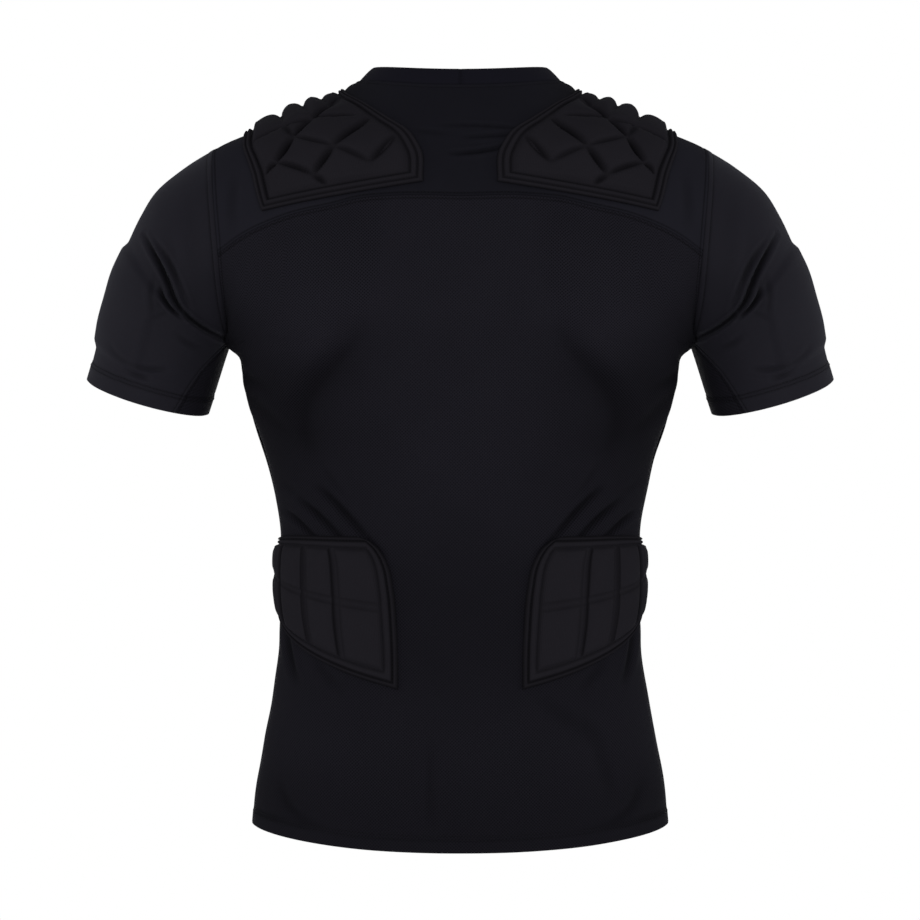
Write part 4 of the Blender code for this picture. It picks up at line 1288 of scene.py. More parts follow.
def sleeve_folds(points, along):
    """Folds of the sleeve, each seen from its own side, none across the armhole seam."""
    back, front = fold_relief(points, SLEEVE_FOLDS_BACK), fold_relief(points, SLEEVE_FOLDS_FRONT)
    turned = soft_step(points[..., 1], **FRONT_BLEND)
    folds = back * (1 - turned) + front * turned + fullness_relief(points, SLEEVE_FULLNESS)
    return folds * np.clip(along / FOLD_START, 0, 1)


print("folds of a sleeve:", len(SLEEVE_FOLDS_BACK) + len(SLEEVE_FOLDS_FRONT))

# %% [markdown]
# ## Sleeves and gussets
# A sleeve is a satin knit tube that starts at the armhole. A mesh gusset, a wedge that widens towards the
# cuff, closes the tube underneath. Both are strips of the same surface, so one function makes either. The
# directions of their first row are turned into the armhole's plane, so that they start flush with the
# body. The left pair is the right one mirrored.

# %% Sleeves and underarm gussets
CUFF_HEIGHT = 15.0
SLEEVE_ROUND, SLEEVE_LENGTH, GUSSET_ROUND = 340.0, 200.0, 90.0
SLEEVE_STEP, REAR_FROM, REAR_TO = 0.5 * FINE_STEP, 0.5, 0.98
GUSSET_AT_ARMHOLE, GUSSET_AT_CUFF = 15.0, 58.0
# The gusset's stretch opens its eyelets and also paints shade under the arm; the spot after it paints shade
# on the back of the sleeve, beside its folds.
GUSSET_STRETCH_AND_SHADE = 0.38
SLEEVE_SHADED = ((218, -122, 26, 40, 0.3, 1.2),)
UNDERARM_SHADE, UNDERARM_HALF = 0.45, 24.0
ARMHOLE_OUT = unit(np.array([SHOULDER_LEVEL - ARMPIT_LEVEL, 0, ARMPIT_X - SHOULDER_X]))


def sleeve_piece(name, around, along, stretch=0.0):
    """A wall of the right sleeve, or of the gusset under it."""
    form = sleeve(around, along)
    from_armhole, from_cuff, from_sides = edge_distances(form)
    folds, foam = sleeve_folds(form, along), arm_pad_rise(around, along)
    rise = folds + foam + unevenness(form) + hem_roll(from_cuff, CUFF_HEIGHT)
    rise += seam_roll(from_armhole, SLEEVE_ROW) + seam_roll(from_sides, YOKE_ROW)
    # Painted shade in the folds, along the cuff and seams, and under the arm.
    dark = fold_hollow(folds) + hem_hollow(from_cuff, CUFF_HEIGHT)
    dark += seam_hollow(from_armhole, SLEEVE_ROW) + seam_hollow(from_sides, YOKE_ROW)
    dark += UNDERARM_SHADE * bell(np.abs(around) - 180, UNDERARM_HALF)
    normal = grid_normals(form)
    normal[0] = unit(normal[0] - (normal[0] @ ARMHOLE_OUT)[:, None] * ARMHOLE_OUT)
    thickness = hem_cloth(from_cuff, CUFF_HEIGHT) + foam
    stretch = stretch + fullness_relief(form, SLEEVE_SHADED)
    return wall_on(name, form, rise, thickness, dark, normal, stretch=stretch)


sleeve_rows = spread(SLEEVE_LENGTH, SLEEVE_STEP)[:, None]
gusset_half = GUSSET_AT_ARMHOLE + (GUSSET_AT_CUFF - GUSSET_AT_ARMHOLE) * sleeve_rows
sleeve_columns = finer(spread(SLEEVE_ROUND, FINE_STEP), REAR_FROM, REAR_TO)
sleeve_around = (2 * sleeve_columns - 1) * (180 - gusset_half)
gusset_around = 180 + (2 * spread(GUSSET_ROUND, FINE_STEP) - 1) * gusset_half
sleeve_right, sleeve_outer, sleeve_out = sleeve_piece("sleeve_right_cloth", sleeve_around, sleeve_rows)
gusset_right, gusset_outer, gusset_out = sleeve_piece(
    "underarm_gusset_right_cloth", gusset_around, sleeve_rows, GUSSET_STRETCH_AND_SHADE,
)
sleeve_left = mirrored(sleeve_right, "sleeve_left_cloth")
gusset_left = mirrored(gusset_right, "underarm_gusset_left_cloth")
for side, arm, gusset in (("left", sleeve_left, gusset_left), ("right", sleeve_right, gusset_right)):
    dress(arm, "sleeve_knit", f"sleeve_{side}")
    dress(gusset, "mesh_knit", f"underarm_gusset_{side}")

# %% [markdown]
# ## Puffing a sewn cover
# Foam pushes a pad's cover out wherever no stitch holds it. Blender's cloth simulation does the same with
# pressure: a copy of the cover, made of coarse squares, is pinned along its border and its quilting lines,
# gravity is off, and twenty frames of pressure let it swell. How far each point moved out is read back,
# limited, and laid on the fine cover as extra height, so the stitch lines keep their sharp shape.

# %% Cloth simulation of a cover
PUFF_STEP, PUFF_FRAMES, PUFF_CAP = 4.0, 20, 1.6
COVER_PULL, COVER_SHEAR, COVER_BEND = 1.0, 0.5, 0.02
LOOSE = 0.05


def cover_copy(name, points, sewn):
    """A coarse cover with a vertex group that says how firmly each point is sewn down."""
    cover = mesh_object(name, points, grid_quads(*points.shape[:2]))
    pins = cover.vertex_groups.new(name="sewn")
    for number, weight in enumerate(sewn.ravel()):
        pins.add([number], float(weight), "REPLACE")
    return cover


def blow_up(cover, pressure):
    """Runs the simulation on a cover, and returns its points in millimetres."""
    cloth = cover.modifiers.new("cloth", "CLOTH")
    cloth.settings.vertex_group_mass = "sewn"
    cloth.settings.use_pressure = True
    cloth.settings.uniform_pressure_force = pressure
    cloth.settings.tension_stiffness = cloth.settings.compression_stiffness = COVER_PULL
    cloth.settings.shear_stiffness, cloth.settings.bending_stiffness = COVER_SHEAR, COVER_BEND
    cloth.settings.effector_weights.gravity = 0
    cloth.point_cache.frame_start, cloth.point_cache.frame_end = 1, PUFF_FRAMES
    for number in range(1, PUFF_FRAMES + 1):
        scene.frame_set(number)
    swollen = cover.evaluated_get(bpy.context.evaluated_depsgraph_get()).data
    moved = np.empty(3 * len(swollen.vertices), np.float32)
    swollen.vertices.foreach_get("co", moved)
    return moved / MM


def puffed(name, points, sewn, pressure):
    """How far, in millimetres, pressure lifts each point of a cover that is sewn down in places."""
    cover = cover_copy(name, points, sewn)
    moved = blow_up(cover, pressure).reshape(points.shape)
    lift = ((moved - points) * grid_normals(points)).sum(-1)
    mesh = cover.data
    bpy.data.objects.remove(cover)
    bpy.data.meshes.remove(mesh)
    scene.frame_set(1)
    highest, mean = (round(float(value), 2) for value in (lift.max(), lift[sewn < LOOSE].mean()))
    print(name, "lifted by up to", highest, "mm, on average", mean)
    return PUFF_CAP * np.tanh(np.clip(lift, 0, None) / PUFF_CAP)


def resampled(values, rows, columns, new_rows, new_columns):
    """A grid's values at other rows and columns."""
    along = np.stack([smooth(new_rows, rows, column) for column in values.T], -1)
    return np.stack([smooth(new_columns, columns, row) for row in along])


print("simulation:", PUFF_FRAMES, "frames a cover")

# %% [markdown]
# ## The border of a pad
# Both kinds of pad are foam blocks between two cloths, sewn round a flat border with two cords in it. A
# section through the border, from the edge inwards, is the same all round a pad, so it is a small table of
# heights by distance from the edge. Inside it the cover climbs to the crown of the blocks.

# %% Sections of the borders
BORDER_WIDTH = 9.0
BORDER_COLUMNS = ("inset", "rise")
SHOULDER_BORDER = (
    (0, 0.6), (0.7, 1.5), (1.8, 2.1), (2.8, 1.9), (3.6, 0.7),
    (4.5, 1.9), (5.8, 2.7), (7.2, 2.1), (8.3, 0.5), (9.5, 0.8),
)
WAIST_BORDER = (
    (0, 0.5), (0.7, 1.5), (1.7, 2.0), (2.7, 1.6), (3.6, 0.3),
    (4.7, 1.7), (6.2, 2.4), (8.0, 2.2), (9.3, 1.2), (10.6, 1.5),
)
SHOULDER_CLIMB, WAIST_CLIMB = 5.6, 3.6
CROWN, CROWN_REACH = 1.5, 9.0
LIT_RISE, DARK_DROP, LEAST_DARK = 1.6, 1.2, 0.25
BORDER_DARK_HALF, EDGE_DARK = 0.9, 0.8
SEWN_LINE = {"middle": 2.4, "half_width": 1.2}
SEWN_BORDER = {"middle": BORDER_WIDTH + 2.5, "half_width": 1.0}


def inside_border(inset, climb):
    """0 on the border, 1 on the blocks."""
    return soft_step(inset, BORDER_WIDTH + climb / 2, climb / 2)


def border_rise(inset, block, section, climb):
    """Height of a pad by the distance from its edge: border with its cords, groove, then the block."""
    border = table(BORDER_COLUMNS, section)
    low = smooth(np.minimum(inset, section[-1][0]), border["inset"], border["rise"])
    up = inside_border(inset, climb)
    crowned = block - CROWN * np.exp(-np.clip(inset - BORDER_WIDTH, 0, None) / CROWN_REACH)
    return low * (1 - up) + crowned * up


def border_hollow(inset, section, edge_half):
    """Painted shade in the border's own grooves and along its outer edge."""
    lines = [(at, np.clip((LIT_RISE - rise) / DARK_DROP, 0, 1)) for at, rise in section[1:-1]]
    grooves = sum(dark * bell(inset - at, BORDER_DARK_HALF) for at, dark in lines if dark > LEAST_DARK)
    return grooves + EDGE_DARK * bell(inset, edge_half)


def sewn_down(from_line, inset):
    """How firmly a cover is held: fully on its stitch lines and border, not at all between them."""
    return np.maximum(1 - soft_step(from_line, **SEWN_LINE), 1 - soft_step(inset, **SEWN_BORDER))


cord_height = max(rise for _, rise in SHOULDER_BORDER)
print("border in mm:", BORDER_WIDTH, "wide, with cords up to", cord_height, "high")

# %% [markdown]
# ## A pad on the body
# A pad lies on the eased cloth, so its points stand on that cloth along the body's own directions. Its
# grid has close lines over the border. A second, coarse grid of the same pad goes through the simulation.

# %% Pads on the body
PAD_STEP = 1.6 * COARSE
PAD_EDGE_LINES = np.arange(0.6, 12.6, 0.7 * COARSE)
TURN_STEP, LEVEL_STEP = 0.5, 0.5


def body_normal(turn, level):
    """Outward directions of the body."""
    across = body(turn + TURN_STEP, level) - body(turn - TURN_STEP, level)
    up = body(turn, level + LEVEL_STEP) - body(turn, level - LEVEL_STEP)
    return unit(np.cross(across, up))


def on_cloth(turn, level, rise):
    """Points at a height over the eased cloth of the body."""
    under = body(turn, level)
    back, front = (fullness_relief(under, rows) for rows in (BACK_FULLNESS, FRONT_FULLNESS))
    eased = np.where(under[..., 1] < 0, back, front)
    return under + body_normal(turn, level) * (rise + eased)[..., None]


def pad_lines(width, height):
    """Columns and rows of a pad's coarse grid for the simulation, and of its fine grid."""
    coarse = [spread(size, PUFF_STEP, edges=()) for size in (width, height)]
    fine = [spread(size, PAD_STEP, edges=PAD_EDGE_LINES) for size in (width, height)]
    return *coarse, *fine


def both_sides(right):
    """A pad of the right side and its mirrored twin, each with the name of its side."""
    left = mirrored(right, right.name.replace("right", "left"))
    return ("left", left), ("right", right)


print("grid step of a pad in mm:", PAD_STEP, "lines over its border:", len(PAD_EDGE_LINES))

# %% [markdown]
# ## Pattern of a shoulder pad
# On the flat pattern the pad is a rectangle from the outer edge to the neck side and from the back, over
# the shoulder, to the front. A table lays its two long edges on the body. The foam is thickest in the
# middle. The quilting lines part it into blocks: slanting lines on the back and front, and three lines over
# the crest, given by the points where they cross, as shares of the pattern.

# %% Pattern and quilting lines
SHOULDER_CLEARANCE = 1.2
SHOULDER_WIDTH, SHOULDER_HALF = 112.0, 142.0
SHOULDER_PAD_COLUMNS = ("across", "outer_turn", "outer_level", "inner_turn", "inner_level")
SHOULDER_PAD = (
    (-1.00, 41.6, -55.0, 6.9, -33.5),
    (-0.82, 45.5, -33.5, 8.5, -7.5),
    (-0.72, 47.6, -25.0, 12.0, 6.0),
    (-0.58, 52.5, -12.5, 21.0, 18.8),
    (-0.42, 60.5, 0.0, 36.0, 31.2),
    (-0.20, 75.0, 8.8, 63.0, 41.0),
    (0.00, 90.0, 11.2, 90.0, 45.5),
    (0.20, 105.0, 8.8, 116.0, 46.5),
    (0.42, 119.5, 0.0, 142.0, 39.0),
    (0.58, 127.5, -12.5, 158.0, 23.0),
    (0.72, 132.4, -25.0, 167.0, 8.0),
    (0.82, 134.5, -33.5, 171.0, -7.0),
    (1.00, 138.0, -52.0, 173.0, -33.5),
)
SHOULDER_BLOCK_COLUMNS = ("share", "height")
SHOULDER_BLOCKS = ((0.0, 6.2), (0.25, 7.0), (0.46, 8.9), (0.62, 8.9), (0.78, 5.9), (1.0, 4.4))
QUILT_LINES = {
    "rising_outer": {"depth": 1.0, "nodes": (
        (0.10, -0.77), (0.19, -0.71), (0.385, -0.57), (0.545, -0.46), (0.75, -0.33), (0.92, -0.19),
    )},
    "rising_middle": {"depth": 0.85, "nodes": ((0.39, -0.86), (0.55, -0.72), (0.89, -0.54))},
    "rising_inner": {"depth": 0.75, "nodes": ((0.71, -0.85), (0.91, -0.715))},
    "falling_middle": {"depth": 0.5, "nodes": (
        (0.345, -0.45), (0.385, -0.57), (0.55, -0.72), (0.71, -0.85),
    )},
    "falling_outer": {"depth": 0.65, "nodes": ((0.19, -0.71), (0.39, -0.86), (0.46, -0.93))},
    "under_crest": {"depth": 0.6, "nodes": ((0.09, -0.48), (0.345, -0.45), (0.545, -0.46))},
    "under_crest_inner": {"depth": 0.85, "nodes": ((0.545, -0.46), (0.83, -0.495))},
}
CREST_LINES = {
    "outer": {"depth": 1.0, "nodes": (
        (0.345, -0.45), (0.35, -0.10), (0.335, 0.0), (0.30, 0.10), (0.20, 0.32),
    )},
    "middle": {"depth": 0.95, "nodes": (
        (0.545, -0.46), (0.57, -0.10), (0.555, 0.0), (0.51, 0.10), (0.40, 0.32),
    )},
    "inner": {"depth": 0.55, "nodes": (
        (0.75, -0.33), (0.745, -0.10), (0.73, 0.0), (0.675, 0.10), (0.55, 0.32),
    )},
}
PAD_EDGES = table(SHOULDER_PAD_COLUMNS, SHOULDER_PAD)
BLOCKS = table(SHOULDER_BLOCK_COLUMNS, SHOULDER_BLOCKS)


def shoulder_place(spots):
    """Turn and level of places on the shoulder pad's flat pattern."""
    width_share, across = spots[..., 0] / SHOULDER_WIDTH, spots[..., 1] / SHOULDER_HALF
    edge = {name: smooth(across, PAD_EDGES["across"], PAD_EDGES[name]) for name in SHOULDER_PAD_COLUMNS[1:]}
    turn = edge["outer_turn"] + (edge["inner_turn"] - edge["outer_turn"]) * width_share
    level = edge["outer_level"] + (edge["inner_level"] - edge["outer_level"]) * width_share
    return turn, level


def quilt_segments():
    """Straight quilting segments on the flat pattern, in millimetres, with their depth share."""
    size = np.array([SHOULDER_WIDTH, SHOULDER_HALF])
    for lines, halves, over_crest in ((QUILT_LINES, (1, -1), False), (CREST_LINES, (1,), True)):
        for line in lines.values():
            for half in halves:
                nodes = np.array(line["nodes"]) * size * (1, half)
                for start, end in zip(nodes, nodes[1:]):
                    yield start, end, line["depth"], over_crest


print("quilting segments:", len(list(quilt_segments())))

# %% [markdown]
# ## Relief of a shoulder pad
# The upper cloth is pressed down between the blocks, in short lens-shaped grooves that are deepest halfway
# between the crossings, and every block bulges like a small pillow, most of all over the crest. The relief
# is worked out on the flat pattern, where distances are simple, before the pad is laid on the shoulder.

# %% Relief of a shoulder pad
GROOVE_HALF_WIDTH, GROOVE_DEPTH, NODE_DEPTH = 3.0, 5.0, 0.6
GROOVE_SHAPE, LENS_SHAPE = 1.7, 0.55
PILLOW, CREST_PILLOW, PILLOW_REACH, PILLOW_SHAPE = 2.4, 5.6, 5.6, 1.3
CREST_EDGE = {"middle": 0.36, "half_width": 0.10}
CREST_GROOVE, CREST_ENDS = 0.9, 0.45
LOWER_TAPER, TAPER_EDGE = 0.42, {"middle": 0.84, "half_width": 0.12}


def quilt_relief(spots):
    """Depth of the lens-shaped grooves, the pillows' fall towards them, and the distance from a line."""
    groove, fall_off = np.zeros(spots.shape[:-1]), np.zeros(spots.shape[:-1])
    nearest = np.full(spots.shape[:-1], np.inf)
    across = np.abs(spots[..., 1]) / SHOULDER_HALF
    pillow = PILLOW + (CREST_PILLOW - PILLOW) * (1 - soft_step(across, **CREST_EDGE))
    crest_lens = np.cos(np.pi / 2 * np.clip(across / CREST_ENDS, 0, 1)) ** LENS_SHAPE
    for start, end, share, over_crest in quilt_segments():
        run = end - start
        t = np.clip((spots - start) @ run / (run @ run), 0, 1)
        away = np.linalg.norm(spots - (start + t[..., None] * run), axis=-1)
        lens = crest_lens if over_crest else np.sin(np.pi * t).clip(0) ** LENS_SHAPE
        depth = CREST_GROOVE * lens if over_crest else NODE_DEPTH + (GROOVE_DEPTH - NODE_DEPTH) * lens
        half = GROOVE_HALF_WIDTH * (1 + lens) / 2
        groove = np.maximum(groove, share * depth * np.clip(1 - (away / half) ** GROOVE_SHAPE, 0, 1))
        valley = share * pillow * np.exp(-((away / PILLOW_REACH) ** PILLOW_SHAPE))
        fall_off = np.maximum(fall_off, valley * crest_lens if over_crest else valley)
        nearest = np.minimum(nearest, away)
    return groove, fall_off, nearest


def shoulder_inset(spots):
    """Distance of places on the flat pattern from the pad's edge."""
    inset = np.minimum(spots[..., 0], SHOULDER_WIDTH - spots[..., 0])
    return np.minimum(inset, SHOULDER_HALF - np.abs(spots[..., 1]))


def shoulder_slab(spots):
    """Height of the shoulder pad over its flat pattern before it is quilted."""
    across = np.abs(spots[..., 1]) / SHOULDER_HALF
    block = smooth(spots[..., 0] / SHOULDER_WIDTH, BLOCKS["share"], BLOCKS["height"])
    block = block * (1 - LOWER_TAPER * soft_step(across, **TAPER_EDGE))
    return border_rise(shoulder_inset(spots), block, SHOULDER_BORDER, SHOULDER_CLIMB)


def shoulder_rise(spots):
    """Height of the quilted shoulder pad."""
    groove, fall_off, _ = quilt_relief(spots)
    return shoulder_slab(spots) - (groove + fall_off) * inside_border(shoulder_inset(spots), SHOULDER_CLIMB)


middle_spot = np.array([SHOULDER_WIDTH / 2, 0.0])
print("foam at the crest in mm:", round(float(shoulder_slab(middle_spot)), 1))

# %% [markdown]
# ## Shoulder pads
# The pad is now made as a tailor would: its coarse copy is puffed, the puff is laid on the fine relief, and
# the result is bent over the shoulder. The underside lies a little above the yoke, and the wall between
# the two is closed, so the pad is a solid cushion. The left pad is the right one mirrored.

# %% Shoulder pads
SHOULDER_PRESSURE = 40.0
SHOULDER_EDGE_HALF = 0.7
GROOVE_DARK, GROOVE_DARK_SHAPE = 1.15, 1.2


def shoulder_spots(columns, rows):
    """Places on the flat pattern for shares across the pad and along it."""
    return np.stack(np.meshgrid(SHOULDER_WIDTH * (1 - columns), SHOULDER_HALF * (2 * rows - 1)), -1)


def on_shoulder(spots, rise):
    """Points of the right shoulder pad, at a height over the cloth under it."""
    return on_cloth(*shoulder_place(spots), SHOULDER_CLEARANCE + rise)


coarse_columns, coarse_rows, pad_columns, pad_rows = pad_lines(SHOULDER_WIDTH, 2 * SHOULDER_HALF)
coarse_spots = shoulder_spots(coarse_columns, coarse_rows)
coarse_top = on_shoulder(coarse_spots, shoulder_slab(coarse_spots))
coarse_sewn = sewn_down(quilt_relief(coarse_spots)[2], shoulder_inset(coarse_spots))
coarse_puff = puffed("shoulder_pad_copy", coarse_top, coarse_sewn, SHOULDER_PRESSURE)
pad_spots = shoulder_spots(pad_columns, pad_rows)
pad_puff = resampled(coarse_puff, coarse_rows, coarse_columns, pad_rows, pad_columns)
pad_top = on_shoulder(pad_spots, shoulder_rise(pad_spots) + pad_puff)
pad_under = on_shoulder(pad_spots, np.zeros(pad_spots.shape[:-1]))
# Painted shade along the border's grooves and outer edge, and down in the quilting grooves.
pad_dark = border_hollow(shoulder_inset(pad_spots), SHOULDER_BORDER, SHOULDER_EDGE_HALF)
pad_dark += (GROOVE_DARK * quilt_relief(pad_spots)[0] / GROOVE_DEPTH) ** GROOVE_DARK_SHAPE
pad_right = cloth_wall("shoulder_pad_right_cover", pad_top, pad_under, pad_spots, pad_dark)
for side, pad in both_sides(pad_right):
    dress(pad, "pad_cover", f"shoulder_pad_{side}")

# %% [markdown]
# ## Pattern and relief of a waist pad
# The waist pads wrap from beside the spine round to the front of the side seam. Two tables lay their ends
# and their long edges on the body. Their blocks are larger and flatter, in two rows, parted by upright
# grooves and one shallow level groove, which are channels with a flat bottom. Light comes from behind the
# wearer, so shade is painted mostly on the front wall of each upright groove.

# %% Pattern of a waist pad
WAIST_CLEARANCE = 0.9
WAIST_END_COLUMNS = ("share", "front_turn", "back_turn")
WAIST_ENDS = (
    (0.00, 108.0, 16.5),
    (0.35, 119.0, 17.3),
    (0.65, 119.5, 18.8),
    (0.80, 117.0, 20.4),
    (0.88, 114.0, 22.4),
    (0.94, 111.0, 25.0),
    (0.98, 107.5, 28.2),
    (1.00, 104.0, 32.0),
)
WAIST_EDGE_COLUMNS = ("turn", "bottom", "top")
WAIST_EDGES = (
    (16, -424, -307.5),
    (34, -413, -307.5),
    (63, -391, -307.5),
    (82, -373, -309),
    (100, -357, -312),
    (120, -341, -316),
)
MIDDLE_SHARE, BACK_SHARE, MEASURE_STEPS = 0.5, 0.75, 40
ENDS, EDGES = table(WAIST_END_COLUMNS, WAIST_ENDS), table(WAIST_EDGE_COLUMNS, WAIST_EDGES)


def waist_place(length_share, height_share):
    """Turn and level of a place on the waist pad, from its front end to its back edge."""
    front = smooth(height_share, ENDS["share"], ENDS["front_turn"])
    back = smooth(height_share, ENDS["share"], ENDS["back_turn"])
    turn = front + (back - front) * length_share
    bottom = smooth(turn, EDGES["turn"], EDGES["bottom"])
    top = smooth(turn, EDGES["turn"], EDGES["top"])
    return turn, bottom + (top - bottom) * height_share


def waist_run(length_share, height_share):
    """Length of a line over the waist pad, measured on the body."""
    line = body(*waist_place(*np.broadcast_arrays(length_share, height_share)))
    return run_length(line, 0)[-1]


def on_waist(length_share, height_share, rise):
    """Points of the right waist pad, at a height over the cloth under it."""
    return on_cloth(*waist_place(length_share, height_share), WAIST_CLEARANCE + rise)


WAIST_LENGTH = waist_run(np.linspace(0, 1, MEASURE_STEPS), MIDDLE_SHARE)
WAIST_HEIGHT = waist_run(BACK_SHARE, np.linspace(0, 1, MEASURE_STEPS // 2))
print("waist pad in mm:", round(WAIST_LENGTH), "x", round(WAIST_HEIGHT))

# %% Relief of a waist pad
WAIST_BLOCK = 6.0
UPRIGHT_GROOVES, LEVEL_GROOVE = (0.24, 0.45, 0.642, 0.795), 0.5
CHANNEL_HALF_WIDTH, CHANNEL_WALL = 2.6, 1.1
UPRIGHT_DEPTH, LEVEL_DEPTH = 2.6, 1.3
BLOCK_FALL = 0.7
FRONT_WALL_DARK, BACK_WALL_DARK, WALL_DARK_HALF = 0.95, 0.4, 0.9
WAIST_EDGE_HALF = 1.6


def channel(away, depth):
    """A flat-bottomed groove with steep soft walls."""
    return depth * (1 - soft_step(away, CHANNEL_HALF_WIDTH, CHANNEL_WALL))


def waist_distances(length_share, height_share):
    """Distances from the waist pad's edge, from its nearest upright groove and from its level groove."""
    from_end = np.minimum(length_share, 1 - length_share) * WAIST_LENGTH
    inset = np.minimum(from_end, np.minimum(height_share, 1 - height_share) * WAIST_HEIGHT)
    beside = length_share[..., None] - np.array(UPRIGHT_GROOVES)
    nearest = np.abs(beside).argmin(-1)[..., None]
    upright = np.take_along_axis(beside, nearest, -1)[..., 0] * WAIST_LENGTH
    return inset, upright, np.abs(height_share - LEVEL_GROOVE) * WAIST_HEIGHT


def waist_relief(length_share, height_share):
    """Height of the quilted waist pad, and the shade painted on its border and grooves, mostly on front
    walls.
    """
    inset, beside, level = waist_distances(length_share, height_share)
    upright = np.abs(beside)
    cut = np.maximum(channel(upright, UPRIGHT_DEPTH), channel(level, LEVEL_DEPTH))
    fall_off = BLOCK_FALL * np.exp(-np.minimum(upright, level) / CROWN_REACH)
    inside = inside_border(inset, WAIST_CLIMB)
    rise = border_rise(inset, WAIST_BLOCK, WAIST_BORDER, WAIST_CLIMB) - np.maximum(cut, fall_off) * inside
    upright_dark = np.where(beside < 0, FRONT_WALL_DARK, BACK_WALL_DARK)
    walls = upright_dark * bell(upright - CHANNEL_HALF_WIDTH, WALL_DARK_HALF)
    walls = np.maximum(walls, BACK_WALL_DARK * bell(level - CHANNEL_HALF_WIDTH, WALL_DARK_HALF))
    return rise, border_hollow(inset, WAIST_BORDER, WAIST_EDGE_HALF) + walls * inside


print("blocks of a waist pad:", 2 * (len(UPRIGHT_GROOVES) + 1))

# %% [markdown]
# ## Waist pads
# A waist pad is made in the same way as a shoulder pad, with a much lower pressure, because its blocks are
# wide and flat and would otherwise swell like a cushion.

# %% Waist pads
WAIST_PRESSURE = 2.0
coarse_columns, coarse_rows, waist_columns, waist_rows = pad_lines(WAIST_LENGTH, WAIST_HEIGHT)
coarse_place = np.meshgrid(coarse_columns, coarse_rows)
coarse_top = on_waist(*coarse_place, waist_relief(*coarse_place)[0])
coarse_inset, coarse_upright, coarse_level = waist_distances(*coarse_place)
coarse_sewn = sewn_down(np.minimum(np.abs(coarse_upright), coarse_level), coarse_inset)
coarse_puff = puffed("waist_pad_copy", coarse_top, coarse_sewn, WAIST_PRESSURE)
waist_shares = np.meshgrid(waist_columns, waist_rows)
waist_rise, waist_dark = waist_relief(*waist_shares)
waist_rise += resampled(coarse_puff, coarse_rows, coarse_columns, waist_rows, waist_columns)
waist_top = on_waist(*waist_shares, waist_rise)
waist_under = on_waist(*waist_shares, np.zeros_like(waist_rise))
waist_flat = np.stack(waist_shares, -1) * (WAIST_LENGTH, WAIST_HEIGHT)
waist_right = cloth_wall("waist_pad_right_cover", waist_top, waist_under, waist_flat, waist_dark)
for side, pad in both_sides(waist_right):
    dress(pad, "pad_cover", f"waist_pad_{side}")

# %% [markdown]
# ## Sewing
# Flat seams have a row of stitches on both sides, hems and cuffs are turned up and sewn with two rows, and
# the pads are sewn down through their border. One stitch is a small lens of thread. It is repeated along a
# line and turned to lie on the cloth. Geometry nodes could place such copies too, but here the lines come
# straight from the grids.

# %% One stitch and a row of them
STITCH_PITCH, STITCH_LENGTH, STITCH_WIDTH, STITCH_HEIGHT = 2.8, 2.15, 0.6, 0.4
STITCH_RING = ((0.5, 0.0), (0.0, 1.0), (-0.5, 0.0), (0.0, -0.5))
STITCH_ENDS, STITCH_SHOULDER = 0.5, 0.24


def one_stitch():
    """Points of a lens of thread, along, aside and up in shares of its size, and its triangles."""
    tips = [(-STITCH_ENDS, 0, 0), (STITCH_ENDS, 0, 0)]
    rings = [(place, *spot) for place in (-STITCH_SHOULDER, STITCH_SHOULDER) for spot in STITCH_RING]
    back, ahead = 2 + np.arange(4), 6 + np.arange(4)
    next_back, next_ahead = np.roll(back, -1), np.roll(ahead, -1)
    faces = [
        np.stack([0 * back, next_back, back], -1), np.stack([0 * back + 1, ahead, next_ahead], -1),
        np.stack([back, next_back, next_ahead], -1), np.stack([back, next_ahead, ahead], -1),
    ]
    return np.array(tips + rings), np.concatenate(faces)


def stitch_axes(line, out):
    """Middles of the stitches along a line, and their directions ahead, aside and up."""
    run = run_length(line, 0)
    middle = np.arange(STITCH_PITCH / 2, run[-1], STITCH_PITCH * COARSE)
    front, rear, up = (
        np.stack([np.interp(middle + shift, run, column) for column in grid.T], -1)
        for grid, shift in ((line, STITCH_LENGTH / 2), (line, -STITCH_LENGTH / 2), (out, 0))
    )
    ahead = unit(front - rear)
    aside = unit(np.cross(up, ahead))
    return (front + rear) / 2, ahead, aside, np.cross(ahead, aside)


def sew(name, rows):
    """All the stitches of some rows, as one piece."""
    middle, *axes = (np.concatenate(parts) for parts in zip(*(stitch_axes(*row) for row in rows)))
    shape, faces = one_stitch()
    shape = shape * (STITCH_LENGTH, STITCH_WIDTH, STITCH_HEIGHT)
    points = middle[:, None] + sum(shape[:, k, None] * axis[:, None] for k, axis in enumerate(axes))
    number = np.arange(len(middle))[:, None]
    flat = np.stack([number * STITCH_PITCH + shape[:, 0], 0 * number + shape[:, 1]], -1).reshape(-1, 2)
    faces = (faces + len(shape) * number[..., None]).reshape(-1, 3)
    return new_piece(name, points, faces, flat, np.zeros_like(flat))


def sew_node(node, rows):
    """Sews the rows of one panel or pad, and of its twin on the left where it has one."""
    pieces = [sew(f"{node}_stitches", rows)]
    if node.endswith("right"):
        pieces.append(mirrored(pieces[0], f"{node.replace('right', 'left')}_stitches"))
    for piece in pieces:
        dress(piece, "thread")


print("points of a stitch:", len(one_stitch()[0]))

# %% [markdown]
# ## Rows on the panels
# Each row is a line on a panel's grid at a fixed distance from one of its edges. The seams' rows lie in the
# dents that the cloth already has there, and the two rows of a hem lie in theirs.

# %% Rows on the panels
SEWN_SIDE, SEWN_SLEEVE, SEWN_YOKE = (row + STITCH_OFFSET for row in (SEAM_ROW, SLEEVE_ROW, YOKE_ROW))


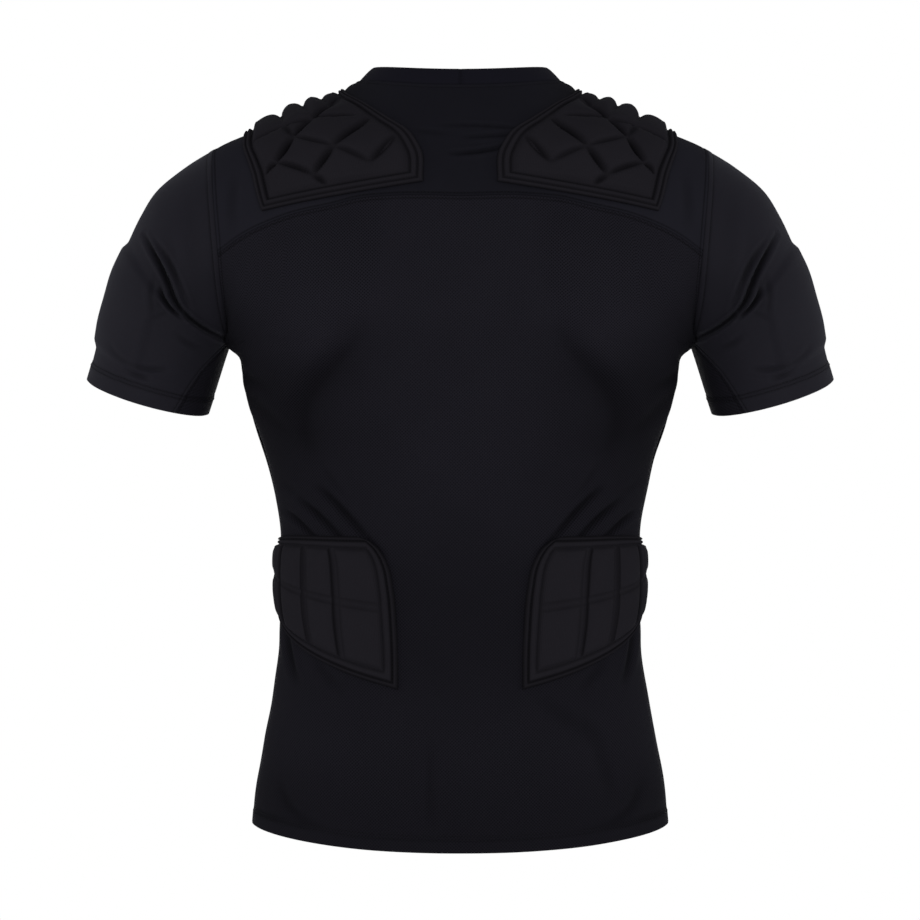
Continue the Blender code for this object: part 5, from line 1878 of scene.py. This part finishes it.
def beside_edge(points, out, edge, distance):
    """A line on a panel's grid at a distance from one edge, and the outward directions along it."""
    if edge.endswith("column"):
        points, out = points.swapaxes(0, 1), out.swapaxes(0, 1)
    if edge.startswith("last"):
        points, out = points[::-1], out[::-1]
    away, column = run_length(points, 0), np.arange(points.shape[1])
    row = np.clip((away < distance).sum(0), 1, len(points) - 1)
    before, after = away[row - 1, column], away[row, column]
    t = ((distance - before) / (after - before))[:, None]
    return tuple(grid[row - 1, column] * (1 - t) + grid[row, column] * t for grid in (points, out))


hem_rows = [("first_row", HEM_HEIGHT), ("first_row", HEM_HEIGHT - SECOND_ROW)]
cuff_rows = [("last_row", CUFF_HEIGHT), ("last_row", CUFF_HEIGHT - SECOND_ROW)]
side_rows = [("first_column", SEWN_SIDE), ("last_column", SEWN_SIDE)]
gusset_rows = [("first_column", SEWN_YOKE), ("last_column", SEWN_YOKE)]
armhole_row = ("first_row", SEWN_SLEEVE)
yoke_row, neck_row = ("first_row", SEWN_YOKE), ("last_row", SEWN_YOKE)
PANEL_ROWS = {
    "back_panel": (back_outer, back_out, [*hem_rows, *side_rows, neck_row]),
    "back_yoke": (yoke_outer, yoke_out, [yoke_row, *side_rows, neck_row]),
    "front_panel": (front_outer, front_out, [*hem_rows, *side_rows, neck_row]),
    "sleeve_right": (sleeve_outer, sleeve_out, [armhole_row, *cuff_rows, *gusset_rows]),
    "underarm_gusset_right": (gusset_outer, gusset_out, [armhole_row, *cuff_rows, *gusset_rows]),
}
for panel, (grid, out, lines) in PANEL_ROWS.items():
    sew_node(panel, [beside_edge(grid, out, *line) for line in lines])

# %% [markdown]
# ## Rows round the pads
# A pad is sewn down in two rows, in the groove between the cords and in the groove inside them. On the flat
# pattern such a row is a rectangle, so it is walked round in small steps and then laid on the pad.

# %% Rows round the pads
SHOULDER_ROWS, WAIST_ROWS = (3.6, 8.3), (3.6, 9.3)
LOOP_STEP = 1.0


def loop_inside(width, height, inset):
    """Places round a flat rectangle at a distance from its edge."""
    shares = np.array([(0, 0), (1, 0), (1, 1), (0, 1)])
    corners = inset + shares * (width - 2 * inset, height - 2 * inset)
    sides = []
    for start, end in zip(corners, np.roll(corners, -1, axis=0)):
        count = round(np.linalg.norm(end - start) / LOOP_STEP)
        sides.append(start + (end - start) * np.linspace(0, 1, count, endpoint=False)[:, None])
    return np.concatenate(sides)


def shoulder_line(inset):
    """A row on the right shoulder pad, and the outward directions along it."""
    spots = loop_inside(SHOULDER_WIDTH, 2 * SHOULDER_HALF, inset) - (0, SHOULDER_HALF)
    return on_shoulder(spots, shoulder_rise(spots)), body_normal(*shoulder_place(spots))


def waist_line(inset):
    """A row on the right waist pad, and the outward directions along it."""
    shares = (loop_inside(WAIST_LENGTH, WAIST_HEIGHT, inset) / (WAIST_LENGTH, WAIST_HEIGHT)).T
    return on_waist(*shares, waist_relief(*shares)[0]), body_normal(*waist_place(*shares))


sew_node("shoulder_pad_right", [shoulder_line(inset) for inset in SHOULDER_ROWS])
sew_node("waist_pad_right", [waist_line(inset) for inset in WAIST_ROWS])
